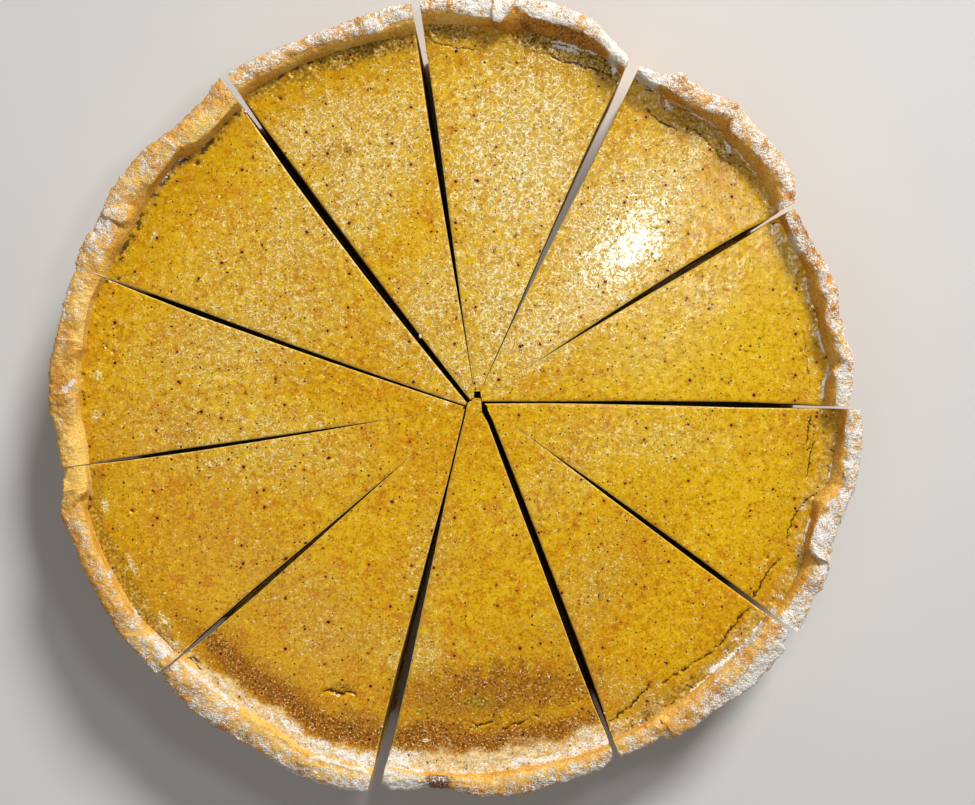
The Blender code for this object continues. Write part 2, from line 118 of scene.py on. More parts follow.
# Lines round the rim as they look from above, clockwise: bearing, then the radii of the lip's outer
# edge, of its inner edge, and of the line where the filling meets the pastry
RIM_LINES = (
    (95.8, 137.2, 133.2, 128.5), (91.5, 137.6, 133.4, 128.5), (89.0, 137.9, 131.6, 128.0),
    (84.8, 138.4, 131.4, 127.8), (84.3, 138.4, 129.8, 127.6), (83.2, 138.7, 129.8, 127.0),
    (81.5, 139.3, 135.8, 127.4), (80.2, 139.6, 135.2, 127.9), (78.8, 139.6, 133.3, 128.1),
    (75.0, 139.5, 133.2, 128.3), (71.0, 138.8, 133.3, 128.0), (69.3, 137.6, 132.6, 127.8),
    (67.0, 134.6, 131.0, 127.8), (65.0, 133.0, 127.8, 126.4), (61.9, 129.6, 126.0, 124.6),

    (61.7, 129.6, 126.6, 125.6), (57.5, 131.5, 126.6, 125.6), (56.5, 133.0, 128.6, 126.2),
    (55.0, 136.8, 128.0, 126.6), (53.5, 135.2, 127.4, 126.4), (51.0, 135.9, 128.4, 127.0),
    (49.0, 137.2, 130.2, 127.9), (46.5, 139.4, 133.4, 129.0), (45.2, 139.8, 134.3, 129.4),
    (44.4, 139.6, 131.5, 129.0), (43.0, 139.2, 131.6, 128.4), (41.0, 139.2, 132.8, 128.8),
    (36.0, 139.7, 133.6, 129.0), (33.0, 139.0, 134.2, 128.4), (31.8, 137.6, 132.0, 127.6),
    (29.6, 134.6, 128.0, 126.0),

    (29.4, 133.2, 131.5, 127.4), (28.2, 133.5, 128.6, 127.2), (24.0, 133.8, 127.9, 126.8),
    (22.0, 134.2, 128.6, 127.4), (20.0, 135.6, 131.0, 128.0), (16.5, 136.6, 131.2, 126.6),
    (14.0, 135.8, 131.8, 127.2), (12.0, 134.6, 129.8, 127.4), (10.2, 136.3, 130.2, 127.2),
    (8.6, 135.0, 131.8, 127.3), (7.0, 137.0, 131.8, 128.2), (4.9, 137.5, 133.4, 129.2),
    (3.8, 137.2, 130.6, 128.4), (1.0, 136.3, 131.2, 126.8), (-1.6, 135.1, 130.8, 126.8),

    (-1.7, 139.4, 135.0, 132.2), (-5.0, 140.7, 134.6, 132.0), (-9.0, 141.2, 135.4, 131.6),
    (-13.2, 140.9, 137.3, 131.6), (-14.4, 140.5, 134.2, 130.0), (-16.2, 140.2, 132.8, 127.8),
    (-18.5, 139.4, 132.0, 129.4), (-21.5, 139.4, 131.4, 129.8), (-23.4, 140.8, 132.2, 130.6),
    (-24.6, 142.0, 136.6, 132.4), (-28.0, 142.5, 136.2, 132.6), (-29.2, 141.5, 136.2, 132.6),
    (-33.0, 143.3, 135.6, 132.4), (-35.0, 143.9, 134.6, 131.4),

    (-35.2, 141.3, 133.6, 131.0), (-37.0, 141.8, 133.4, 131.0), (-37.6, 143.5, 133.2, 131.0),
    (-44.0, 143.3, 133.0, 130.8), (-47.0, 142.6, 132.8, 130.0), (-49.0, 141.4, 132.6, 130.2),
    (-51.0, 140.6, 132.6, 130.2), (-54.0, 141.2, 133.2, 130.0), (-57.0, 140.0, 134.0, 129.5),
    (-58.3, 139.4, 132.0, 129.8), (-58.8, 137.8, 131.6, 130.0), (-65.7, 137.0, 131.4, 129.8),

    (-65.8, 133.6, 132.2, 130.9), (-67.0, 136.5, 132.4, 130.9), (-68.5, 138.0, 132.2, 130.8),
    (-78.0, 138.5, 131.7, 130.1), (-80.5, 139.4, 131.8, 130.0), (-84.0, 138.9, 132.1, 130.2),
    (-86.2, 138.5, 133.2, 130.3), (-88.0, 137.3, 132.0, 130.1), (-90.0, 136.0, 131.4, 129.9),
    (-92.0, 135.4, 130.6, 129.8), (-94.5, 135.4, 130.8, 129.8), (-97.0, 137.0, 130.8, 129.8),
    (-99.5, 137.6, 130.6, 129.6), (-101.7, 135.2, 130.6, 129.6),

    (-101.9, 139.6, 133.8, 131.8), (-106.0, 141.0, 133.6, 131.5), (-110.0, 141.6, 133.9, 132.4),
    (-113.5, 141.3, 133.7, 132.4), (-116.0, 140.6, 132.6, 131.0), (-119.0, 140.1, 132.0, 129.7),
    (-124.0, 140.6, 132.4, 130.0), (-130.0, 141.5, 132.6, 130.1), (-134.0, 140.8, 132.6, 129.2),
    (-137.0, 139.0, 132.6, 129.2),

    (-137.2, 140.8, 133.4, 131.0), (-140.5, 140.8, 134.4, 131.4), (-143.0, 141.5, 134.6, 132.2),
    (-145.0, 142.1, 134.4, 132.8), (-147.0, 141.3, 134.0, 133.0), (-152.0, 141.0, 133.8, 132.8),
    (-156.0, 141.7, 134.6, 133.1), (-157.5, 140.9, 134.5, 133.1), (-163.0, 142.1, 134.8, 132.9),
    (-164.4, 141.4, 135.0, 131.8), (-165.6, 140.0, 131.2, 129.8), (-167.0, 138.8, 130.2, 129.0),
    (-169.5, 137.4, 129.9, 128.7),

    (-169.6, 138.2, 133.0, 128.7), (-172.5, 138.3, 132.6, 128.2), (-175.0, 138.4, 132.6, 128.6),
    (-177.0, 139.8, 132.0, 129.4), (-179.0, 140.8, 131.0, 129.7), (-181.0, 140.2, 130.6, 129.0),
    (-183.5, 140.8, 131.4, 129.8), (-185.5, 140.6, 131.6, 129.9), (-187.5, 139.7, 130.0, 128.6),
    (-190.0, 139.2, 130.6, 129.0), (-195.0, 139.2, 131.0, 129.0), (-198.7, 138.4, 130.0, 127.4),

    (-198.9, 138.7, 131.2, 127.6), (-201.5, 139.5, 131.0, 127.2), (-203.9, 139.4, 130.6, 126.4),
    (-204.4, 138.0, 130.4, 126.2), (-207.0, 137.7, 130.6, 125.6), (-208.2, 138.2, 129.0, 125.8),
    (-210.5, 138.7, 131.4, 126.0), (-213.0, 138.6, 130.4, 126.0), (-215.0, 138.2, 128.6, 126.0),
    (-219.0, 137.3, 128.4, 126.0), (-220.5, 135.8, 128.5, 126.0), (-222.2, 135.0, 128.7, 124.0),
    (-224.0, 134.4, 126.4, 122.9), (-227.0, 133.9, 125.3, 122.6), (-230.0, 134.7, 125.8, 123.6),
    (-232.0, 136.2, 126.8, 124.0), (-234.0, 137.3, 127.2, 124.0),

    (-234.2, 136.0, 131.5, 127.0), (-236.5, 136.5, 130.5, 126.7), (-241.0, 135.6, 130.0, 126.4),
    (-242.6, 135.3, 130.7, 126.4), (-246.0, 134.9, 130.6, 126.2), (-250.0, 134.8, 130.0, 125.8),
    (-254.5, 135.3, 129.4, 125.8), (-257.8, 136.0, 127.9, 125.6), (-259.8, 136.5, 131.0, 125.8),
    (-264.0, 136.6, 131.6, 125.8),
)

# How the faces of each cut stand, as shares of its gap: how far the filling leans out at its foot
# on the side turned anticlockwise and on the other, and how far the base sticks out on each
CUT_FEET = (
    (0.34, 0.04, 0.36, 0.08),
    (0.12, 0.06, 0.14, 0.08),
    (0.10, 0.14, 0.40, 0.44),
    (0.08, 0.14, 0.20, 0.28),
    (0.08, 0.12, 0.30, 0.34),
    (0.44, 0.05, 0.48, 0.30),
    (0.04, 0.28, 0.06, 0.42),
    (0.10, 0.14, 0.40, 0.42),
    (0.06, 0.08, 0.20, 0.20),
    (0.06, 0.12, 0.20, 0.24),
    (0.05, 0.56, 0.12, 0.60),
)

# The slice's plan is in even turns beyond the first radius, and is run in to the tip inside it.
# The others are near the filling's edge and in the lip, where a bearing is first read.
JOIN = 100.0
NEAR_SHORE = 128.0
IN_LIP = 130.0

# Rows from the tip to the lip's edge, for each span between the profile's points
TOP_ROWS = (5, 1, 2, 4, 3, 4, 4, 6, 8, 7, 4)
UNDER_ROWS = (7, 1, 3, 8, 9, 5, 9, 6)
PASTRY_COLUMNS = 200
PASTRY_LAYERS = 5
EDGE_CLUSTER = 0.4

# Corners of the pastry's section: how far out from the foot or from the filling's edge, and height
INNER_FOOT = ((-15.0, BASE_THICK), (-9.4, BASE_THICK), (-6.4, 6.4))
INNER_WALL = (-2.2, 20.0)
OUTER_FOOT = ((-5.0, 0.0), (-1.4, 0.0), (0.2, 1.4))

# Section of the lip: share in from the edge, drop below the crest, where a pleat is read across it,
# and its share of the pleat's rise
LIP_SECTION = (
    (1.0, 0.7, 0.0, 1.0),
    (0.7, 0.0, 0.35, 1.0),
    (0.32, 0.4, 0.35, 0.8),
    (0.08, 1.3, 1.0, 0.6),
    (0.0, 2.9, 1.0, 0.4),
)

# Lumps of the lip: size and height, from folds of the dough down to its crumb
LIP_LUMPS = ((11.0, 0.55), (5.0, 0.4), (2.3, 0.26), (1.1, 0.16))
RAGGED_EDGE = ((2.6, 0.4), (1.1, 0.5))
WALL_LUMPS = ((9.0, 0.3), (3.0, 0.14))
BASE_CRUMBLE = ((3.0, 0.35), (1.3, 0.4))

# How toasted the base, the underside and the cut faces are, and the wall for its listed tone
BASE_TONE, UNDER_TONE, CUT_TONE = 0.3, 0.5, 0.1
WALL_SHARE = 0.72
SHARP_ANGLE = 60

# Level at which marks on the lip are read, and how many degrees round a slice they can reach it
MARK_LEVEL = LIP_LEVEL - 1
MARK_TURN = 30

# Reaches in mm: of the edge's damping of the lip's relief and of its own raggedness, of the base's
# crumble below a height and inside the foot, and of the cut faces' lean into a slice
RELIEF_FADE, RELIEF_LEAST = 1.5, 0.25
RAGGED_REACH = 3.5
CRUMBLE_TOP, CRUMBLE_FADE, CRUMBLE_IN = 8.0, 3.0, 3
PASTRY_LEAN = 4.0


def tint(red, green, blue):
    """A colour given in 0 to 255 as light: each part to the power of about 2.4."""
    parts = [part / 255 for part in (red, green, blue)]
    return tuple(p / 12.92 if p <= 0.04045 else ((p + 0.055) / 1.055) ** 2.4 for p in parts) + (1.0,)


def cell_numbers(column, row, seed):
    """Fixed random numbers from 0 to 1 for whole-numbered cells: the cell's numbers times large
    odd numbers, folded on themselves twice."""
    mixed = column.astype(np.int64).astype(np.uint32) * np.uint32(2654435761)
    mixed = mixed ^ (row.astype(np.int64).astype(np.uint32) * np.uint32(2246822519))
    mixed = mixed + np.uint32(seed * 40503 + 977)
    mixed = (mixed ^ (mixed >> np.uint32(15))) * np.uint32(739982445)
    mixed = (mixed ^ (mixed >> np.uint32(12))) * np.uint32(695872825)
    return (mixed ^ (mixed >> np.uint32(15))) / 4294967296.0


def lumps(x, y, size, seed):
    """Smooth random relief from about -1 to 1: each corner of a net of squares has a random slope,
    and the four planes round a point are blended."""
    column, row = np.floor(x / size), np.floor(y / size)
    part_x, part_y = x / size - column, y / size - row
    blend_x = part_x**3 * (part_x * (part_x * 6 - 15) + 10)
    blend_y = part_y**3 * (part_y * (part_y * 6 - 15) + 10)
    total = 0.0
    for right in (0, 1):
        for up in (0, 1):
            turn = cell_numbers(column + right, row + up, seed) * 2 * math.pi
            plane = np.cos(turn) * (part_x - right) + np.sin(turn) * (part_y - up)
            share_x = blend_x if right else 1 - blend_x
            share_y = blend_y if up else 1 - blend_y
            total = total + plane * share_x * share_y
    return total * 1.7


def layered_lumps(x, y, sizes, seed):
    """Lumps of several sizes added up, each with its own height."""
    return sum(height * lumps(x, y, size, seed + i) for i, (size, height) in enumerate(sizes))


def turn_apart(bearing, middle):
    """Signed angle in degrees from one bearing to another, within half a turn."""
    return (bearing - middle + 180.0) % 360.0 - 180.0


def from_steps(right, down):
    """Plan place in mm of a step right and down."""
    return (right - MIDDLE[0]) * STEP, (MIDDLE[1] - down) * STEP


def slice_width(radius, least):
    """Width of a slice along the arc at a radius, which is taken as no less than a size."""
    return np.maximum(radius, least) * 2 * math.pi / SLICES


def cut_point(number, side, share):
    """Points of one side of a cut: the straight line between its ends, plus a bow that is greatest
    halfway, plus half the gap. The side is +1 clockwise of the cut and -1 anticlockwise."""
    inner, outer, bow, gaps = CUTS[(number - 1) % SLICES]
    along_x, along_y = outer[0] - inner[0], outer[1] - inner[1]
    length = math.hypot(along_x, along_y)
    shift = bow * 4 * share * (1 - share) + side * np.interp(share, STATIONS, gaps) / 2
    right = inner[0] + along_x * share - along_y / length * shift
    down = inner[1] + along_y * share + along_x / length * shift
    return from_steps(right, down)


def cut_share(number, side, radius):
    """Share of the way along a cut where its side has a radius: read off the line beyond the join,
    and in even steps from the tip to there."""
    shares = np.linspace(0.3, 1.15, 171)
    x, y = cut_point(number, side, shares)
    read = np.interp(np.maximum(radius, JOIN), np.hypot(x, y), shares)
    return np.where(radius < JOIN, read * radius / JOIN, read)


def gap_at(number, radius):
    """Gap of a cut at a radius, in mm."""
    share = cut_share(number, 1, radius)
    return np.interp(share, STATIONS, CUTS[(number - 1) % SLICES][3]) * STEP


def plan_place(number, turn, radius):
    """Plan place in a slice, where turn goes from 0 at its anticlockwise side to 1 at the other.

    Beyond the join it is the radius at a bearing that goes evenly from side to side. Inside it is
    a chord between the sides, plus the tip's own outline fading out, plus the belly of the arc at
    the join growing in.
    """
    left_x, left_y = cut_point(number, 1, cut_share(number, 1, radius))
    right_x, right_y = cut_point(number + 1, -1, cut_share(number + 1, -1, radius))
    left = np.arctan2(left_y, left_x)
    span = (left - np.arctan2(right_y, right_x)) % (2 * math.pi)
    outer = left - turn * span
    chord_x = left_x + turn * (right_x - left_x)
    chord_y = left_y + turn * (right_y - left_y)

    joins = []
    for cut, side in ((number, 1), (number + 1, -1)):
        joins.append(cut_point(cut, side, cut_share(cut, side, np.array(JOIN))))
    start, end = (math.atan2(join[1], join[0]) for join in joins)
    arc = start - turn * ((start - end) % (2 * math.pi))
    belly_x = JOIN * np.cos(arc) - joins[0][0] - turn * (joins[1][0] - joins[0][0])
    belly_y = JOIN * np.sin(arc) - joins[0][1] - turn * (joins[1][1] - joins[0][1])

    tips = [from_steps(*step) for step in BLUNT_TIPS.get(number, ())]
    tips = np.array([cut_point(number, 1, 0.0), *tips, cut_point(number + 1, -1, 0.0)])
    run = np.concatenate([[0.0], np.cumsum(np.hypot(*np.diff(tips, axis=0).T))])
    nose_x = np.interp(turn, run / run[-1], tips[:, 0])
    nose_y = np.interp(turn, run / run[-1], tips[:, 1])
    nose_x = nose_x - tips[0, 0] - turn * (tips[-1, 0] - tips[0, 0])
    nose_y = nose_y - tips[0, 1] - turn * (tips[-1, 1] - tips[0, 1])

    share = np.clip(radius / JOIN, 0.0, 1.0)
    inner_x = chord_x + (1 - share) * nose_x + share * belly_x
    inner_y = chord_y + (1 - share) * nose_y + share * belly_y
    beyond = radius >= JOIN
    x = np.where(beyond, radius * np.cos(outer), inner_x)
    y = np.where(beyond, radius * np.sin(outer), inner_y)
    return x, y


def step_out(number, turn, radius, out_left, out_right, fade):
    """Sideways shift that moves a slice's cut faces outwards, dying away inside the slice over the
    fade: along the normal of the nearer cut."""
    shift_x, shift_y = 0.0, 0.0
    width = slice_width(radius, 4.0)
    for cut, outward, room in ((number, out_left, turn), (number + 1, out_right, 1 - turn)):
        inner, outer = CUTS[(cut - 1) % SLICES][:2]
        along_x, along_y = outer[0] - inner[0], inner[1] - outer[1]
        length = math.hypot(along_x, along_y)
        side = 1 if cut == number else -1
        near = np.clip(1 - room * width / fade, 0.0, 1.0) ** 2
        shift_x = shift_x - side * along_y / length * outward * near
        shift_y = shift_y + side * along_x / length * outward * near
    return shift_x, shift_y


def spread_out(x, y, height):
    """Plan place of what looks to be at a place at the plan's level, for something at a height:
    lower things lie farther from the middle of the view than they look."""
    spread = 1 + (PLAN_LEVEL - height) / SEEN_FROM
    view_x, view_y = from_steps(*SEEN_MIDDLE)
    return view_x + (x - view_x) * spread, view_y + (y - view_y) * spread


def seen_place(right, down, height):
    """Plan place in mm of something seen at a step right and down, at that height."""
    return spread_out(*from_steps(right, down), height)


def rim_place(bearing, radius, height):
    """Plan place in mm of something seen at a bearing and radius, at that height."""
    turn = math.radians(bearing)
    return spread_out(radius * math.cos(turn), radius * math.sin(turn), height)


def round_rim(table, bearing):
    """The sizes of a table that goes round by bearing, read at each bearing, straight between its
    rows."""
    rows = np.array(table)
    return [np.interp(-bearing, -rows[:, 0], column, period=360.0) for column in rows[:, 1:].T]


def shore_level(bearing):
    """Height of the filling where it meets the pastry."""
    return FILLING_LEVEL + round_rim(CLIMBS, bearing)[0]


def rim_lines(bearing):
    """Radii of the outer edge and of the filling's edge, and the width of the inner face.

    Each is read off the listed lines and moved from where it looks to where it lies: the filling's
    edge is below the plan's level and the lip above it.
    """
    edge, lip, shore = round_rim(RIM_LINES, bearing)
    drop = PLAN_LEVEL - shore_level(bearing)
    shore = np.minimum(shore * (1 + drop / SEEN_FROM), edge - RIM_LEAST)
    lip = lip * (1 - (LIP_LEVEL - PLAN_LEVEL) / SEEN_FROM)
    lip = np.clip(lip, shore + FACE_LEAST, edge - LIP_LEAST)
    return edge, shore, lip - shore


def foot_radius(bearing):
    """Radius of the base circle, whose middle lies a little to one side of the pie's."""
    turn = np.radians(bearing)
    return BASE_RADIUS + BASE_SHIFT[0] * np.cos(turn) + BASE_SHIFT[1] * np.sin(turn)


def pleat_shape(bearing, out_share):
    """Rise of the pleats: a sharp step on one side, falling away on the other."""
    rise = 0.0
    for start, height, width, lean in PLEATS:
        past = turn_apart(bearing, start + lean * out_share) / width
        inside = (past >= 0) & (past <= 1)
        rise = rise + height * np.where(inside, 1 - past, 0.0) ** PLEAT_FALL
    return rise


def lip_level(bearing):
    """Height of the lip's crest, which waves gently round the pie."""
    turn = np.radians(bearing)
    return LIP_LEVEL + sum(height * np.sin(count * turn + start) for count, height, start in LIP_WAVES)


def pastry_points(bearing):
    """Radius and height of the profile's points at each bearing: along the top from the tip to the
    lip's edge, and along the underside the same way."""
    edge, shore, face = rim_lines(bearing)
    lip = edge - shore - face
    wall = np.minimum(shore + WALL_THICK, edge - LIP_LEAST)
    foot = foot_radius(bearing)
    crest = lip_level(bearing)
    level = shore_level(bearing)
    flat = np.zeros_like(bearing)
    top = [(flat, flat + BASE_THICK), *((foot + out, flat + height) for out, height in INNER_FOOT)]
    top += [(shore + INNER_WALL[0], flat + INNER_WALL[1]), (shore, level)]
    top.append((shore + face / 2, level + 0.6 * (crest - level) + 0.3 * pleat_shape(bearing, 0.0)))
    for inward, drop, out_share, rise_share in LIP_SECTION:
        rise = pleat_shape(bearing, out_share)
        top.append((edge - inward * lip, crest - drop + rise_share * rise))
    under = [(flat, flat), *((foot + out, flat + height) for out, height in OUTER_FOOT)]
    under += [
        (foot + 0.4 * (wall - foot), flat + 10.5),
        (wall - 0.9, flat + 22.5),
        (wall + 0.3, flat + 27.2),
        (edge - 0.6, crest - 4.7),
        (edge - 0.1, crest - 3.6 + 0.4 * pleat_shape(bearing, 1.0)),
    ]
    return top, under


def smooth_rows(counts):
    """Weights that run a smooth curve through points, with a number of rows in each span between
    them: each row is a cubic blend of the four points round it."""
    rows = []
    for span, count in enumerate(counts):
        for part in np.arange(count) / count:
            row = np.zeros(len(counts) + 1)
            blend = (
                (-part + 2 * part**2 - part**3) / 2,
                (2 - 5 * part**2 + 3 * part**3) / 2,
                (part + 4 * part**2 - 3 * part**3) / 2,
                (part**3 - part**2) / 2,
            )
            for offset, weight in zip((-1, 0, 1, 2), blend):
                row[min(max(span + offset, 0), len(counts))] += weight
            rows.append(row)
    rows.append(np.eye(len(counts) + 1)[-1])
    return np.array(rows)


def spread_turns(count):
    """Shares from 0 to 1 that lie closer together near both ends: even steps less a sine wave."""
    even = np.linspace(0, 1, count)
    return even - EDGE_CLUSTER * np.sin(2 * math.pi * even) / (2 * math.pi)


def block_faces(shape, open_sides=()):
    """Quads over the sides of a block of points, outwards, for a block whose three counts run
    clockwise, outwards and down. A side is named by its axis and end, and can be left open."""
    number = np.arange(np.prod(shape)).reshape(shape)
    quads = []
    for axis in range(3):
        for end in (0, -1):
            if (axis, end) in open_sides:
                continue
            side = np.take(number, end, axis=axis)
            if axis == 1:
                side = side.T
            ring = (side[:-1, :-1], side[1:, :-1], side[1:, 1:], side[:-1, 1:])
            ring = np.stack([corner.ravel() for corner in ring], axis=1)
            quads.append(ring[:, ::-1] if end == -1 else ring)
    return np.concatenate(quads)


def add_piece(name, places, faces, finish, marks):
    """A mesh object in metres, smooth but for its sharp edges, with its marks as point values."""
    mesh = bpy.data.meshes.new(name)
    mesh.from_pydata(places * MM, [], faces)
    for mark, values in marks.items():
        layer = mesh.attributes.new(mark, "FLOAT", "POINT")
        layer.data.foreach_set("value", np.ascontiguousarray(values, dtype=np.float32))
    mesh.polygons.foreach_set("use_smooth", np.ones(len(mesh.polygons), dtype=bool))
    mesh.set_sharp_from_angle(angle=math.radians(SHARP_ANGLE))
    mesh.materials.append(finish)
    mesh.validate()
    obj = bpy.data.objects.new(name, mesh)
    bpy.context.scene.collection.objects.link(obj)
    return obj


def into_box(places):
    """The places kept inside the CAD model's box."""
    low = np.array(cad_box[0]) / MM
    high = np.array(cad_box[1]) / MM
    return np.clip(places, low, high)


def soft_spots(x, y, spots):
    """How strongly each place is marked by soft uneven ovals, from 0 to 1: each oval has a middle,
    a turn in degrees, its half length and half width, and a strength that fades like a bell."""
    sway_x, sway_y = lumps(x, y, 4.0, 91), lumps(x, y, 4.0, 92)
    total = np.zeros_like(x)
    for middle_x, middle_y, turn, long, wide, strength in spots:
        sway = 0.4 * min(long, wide)
        near_x, near_y = x - middle_x + sway * sway_x, y - middle_y + sway * sway_y
        cos, sin = math.cos(math.radians(turn)), math.sin(math.radians(turn))
        away = ((near_x * cos + near_y * sin) / long) ** 2
        away = away + ((near_y * cos - near_x * sin) / wide) ** 2
        total = np.maximum(total, strength * np.exp(-(away**1.5)))
    return total


def rim_spots(marks):
    """Ovals on the rim from their bearing, radius, half length round it, half width and strength."""
    spots = []
    for bearing, radius, long, wide, strength in marks:
        x, y = rim_place(bearing, radius, MARK_LEVEL)
        spots.append((x, y, bearing + 90, long, wide, strength))
    return spots


def line_distance(x, y, points):
    """Distance from each place to a line through points, and the share of the way along it: the
    least over its straight parts. The distance is minus on the line's right."""
    nearest, side, share_at = np.full_like(x, 1000.0), np.ones_like(x), np.zeros_like(x)
    for i, ((x0, y0), (x1, y1)) in enumerate(zip(points[:-1], points[1:])):
        along_x, along_y = x1 - x0, y1 - y0
        share = ((x - x0) * along_x + (y - y0) * along_y) / (along_x**2 + along_y**2)
        held = np.clip(share, 0.0, 1.0)
        away = np.hypot(x - x0 - held * along_x, y - y0 - held * along_y)
        closer = away < nearest
        nearest = np.where(closer, away, nearest)
        side = np.where(closer, np.sign(along_x * (y - y0) - along_y * (x - x0)), side)
        share_at = np.where(closer, (i + share) / (len(points) - 1), share_at)
    return nearest * side, share_at


def rim_strokes(x, y, strokes, height):
    """How strongly each place is marked by soft strokes round the rim, from 0 to 1: each stroke has
    points by bearing and radius, a half width and a strength, and wavers a little."""
    sway_x, sway_y = lumps(x, y, 2.2, 93), lumps(x, y, 2.2, 94)
    middle = math.degrees(math.atan2(y.mean(), x.mean()))
    total = np.zeros_like(x)
    for points, half_width, strength in strokes:
        if abs(turn_apart(points[0][0], middle)) > MARK_TURN:
            continue
        line = [rim_place(bearing, radius, height) for bearing, radius in points]
        away, _ = line_distance(x + 0.4 * sway_x, y + 0.4 * sway_y, line)
        total = np.maximum(total, strength * np.exp(-((away / half_width) ** 2)))
    return total


# Looks of the lip and of the wall inside it, by bearing: how toasted the lip's outer half, its
# inner half and the wall are (the wall's tone is partly painted shade, darkest at bearings 68 to
# 79), and how thick sugar lies on the outer and on the inner half
LIP_LOOKS = (
    (95, 0.6, 0.6, 0.2, 0.5, 0.3), (88, 0.55, 0.55, 0.3, 0.7, 0.6), (84.5, 0.5, 0.5, 0.6, 0.85, 0.85),
    (82, 0.45, 0.4, 0.7, 0.85, 0.85), (79, 0.5, 0.5, 1.1, 0.9, 0.8), (74, 0.5, 0.5, 1.15, 0.8, 0.8),
    (71.5, 0.45, 0.4, 1.05, 0.55, 0.6), (68, 0.45, 0.4, 0.9, 0.9, 0.85),
    (62, 0.4, 0.4, 0.5, 0.98, 0.98), (57, 0.4, 0.4, 0.5, 0.98, 0.98), (55, 0.65, 0.65, 0.5, 0.55, 0.5),
    (51, 0.6, 0.65, 0.45, 0.5, 0.4), (45, 0.5, 0.6, 0.45, 0.55, 0.4), (40, 0.5, 0.55, 0.35, 0.6, 0.55),
    (33, 0.5, 0.55, 0.45, 0.55, 0.5), (30, 0.65, 0.65, 0.6, 0.45, 0.5),
    (28, 0.75, 0.65, 0.45, 0.3, 0.5), (23, 0.75, 0.65, 0.45, 0.35, 0.55),
    (19, 0.55, 0.6, 0.55, 0.4, 0.45), (14, 0.55, 0.6, 0.55, 0.4, 0.45), (12, 0.6, 0.6, 0.55, 0.3, 0.35),
    (10, 0.4, 0.45, 0.5, 0.7, 0.55), (5, 0.4, 0.45, 0.5, 0.65, 0.6), (0, 0.4, 0.4, 0.5, 0.7, 0.65),
    (-2, 0.4, 0.4, 0.45, 0.65, 0.55), (-9, 0.4, 0.45, 0.4, 0.65, 0.55),
    (-14, 0.5, 0.5, 0.45, 0.75, 0.5), (-19, 0.6, 0.55, 0.4, 0.8, 0.75),
    (-24, 0.55, 0.5, 0.45, 0.75, 0.7), (-28, 0.45, 0.45, 0.5, 0.55, 0.55),
    (-34, 0.45, 0.4, 0.45, 0.9, 0.75), (-36, 0.5, 0.4, 0.55, 0.95, 0.3),
    (-44, 0.55, 0.45, 0.55, 0.92, 0.25), (-49, 0.55, 0.45, 0.5, 0.75, 0.3),
    (-53, 0.45, 0.4, 0.4, 0.45, 0.25), (-57, 0.4, 0.4, 0.35, 0.25, 0.12),
    (-60, 0.45, 0.3, 0.35, 0.45, 0.3), (-65, 0.45, 0.3, 0.35, 0.55, 0.4),
    (-67, 0.55, 0.25, 0.4, 0.75, 0.5), (-73, 0.65, 0.3, 0.42, 0.6, 0.35),
    (-80, 0.65, 0.25, 0.42, 0.45, 0.25), (-88, 0.6, 0.25, 0.42, 0.35, 0.2),
    (-95, 0.35, 0.2, 0.25, 0.8, 0.75), (-101, 0.35, 0.2, 0.2, 0.9, 0.85),
    (-104, 0.5, 0.25, 0.25, 0.85, 0.55), (-108, 0.55, 0.25, 0.25, 0.55, 0.3),
    (-113, 0.6, 0.25, 0.25, 0.45, 0.3), (-116, 0.55, 0.25, 0.25, 0.6, 0.35),
    (-122, 0.6, 0.25, 0.25, 0.3, 0.25), (-129, 0.5, 0.25, 0.25, 0.6, 0.5),
    (-134, 0.55, 0.3, 0.25, 0.25, 0.35), (-139, 0.45, 0.3, 0.3, 0.5, 0.45),
    (-145, 0.5, 0.35, 0.35, 0.12, 0.25), (-155, 0.5, 0.35, 0.42, 0.08, 0.28),
    (-163, 0.45, 0.35, 0.4, 0.15, 0.25), (-165, 0.25, 0.1, 0.2, 0.05, 0.0),
    (-169, 0.2, 0.05, 0.12, 0.05, 0.0), (-174, 0.35, 0.2, 0.1, 0.12, 0.05),
    (-180, 0.4, 0.34, 0.18, 0.05, 0.08), (-186, 0.4, 0.32, 0.18, 0.08, 0.0),
    (-190, 0.36, 0.25, 0.22, 0.22, 0.12), (-198, 0.36, 0.25, 0.3, 0.22, 0.05),
    (-201, 0.35, 0.3, 0.35, 0.35, 0.3), (-205, 0.35, 0.3, 0.38, 0.62, 0.62),
    (-209, 0.36, 0.3, 0.35, 0.38, 0.2), (-216, 0.36, 0.25, 0.4, 0.25, 0.4),
    (-221, 0.38, 0.2, 0.45, 0.08, 0.4), (-226, 0.38, 0.12, 0.3, 0.12, 0.45),
    (-232, 0.4, 0.3, 0.25, 0.2, 0.1), (-235, 0.5, 0.45, 0.3, 0.45, 0.4),
    (-245, 0.5, 0.5, 0.25, 0.5, 0.45), (-254, 0.55, 0.5, 0.25, 0.55, 0.5),
    (-258, 0.5, 0.45, 0.25, 0.65, 0.6), (-263, 0.5, 0.5, 0.3, 0.7, 0.6),
)

# Scorched places of the rim: bearing, radius, half length round it, half width, strength
SCORCHED = (
    (71.6, 136.6, 1.7, 1.1, 0.3), (52.8, 132.0, 3.4, 2.0, 0.75), (31.2, 134.0, 2.2, 1.6, 0.7),
    (26.4, 133.0, 3.2, 1.4, 0.8), (23.0, 132.8, 1.8, 1.0, 0.6), (12.2, 133.6, 2.2, 1.8, 0.7),
    (5.4, 131.6, 1.8, 1.8, 0.45), (-92.6, 133.0, 5.6, 3.2, 1.3), (-30.0, 141.8, 1.0, 0.6, 0.5),
    (-17.5, 133.4, 2.0, 0.8, 0.5), (-72.0, 132.0, 3.0, 0.7, 0.25),
)
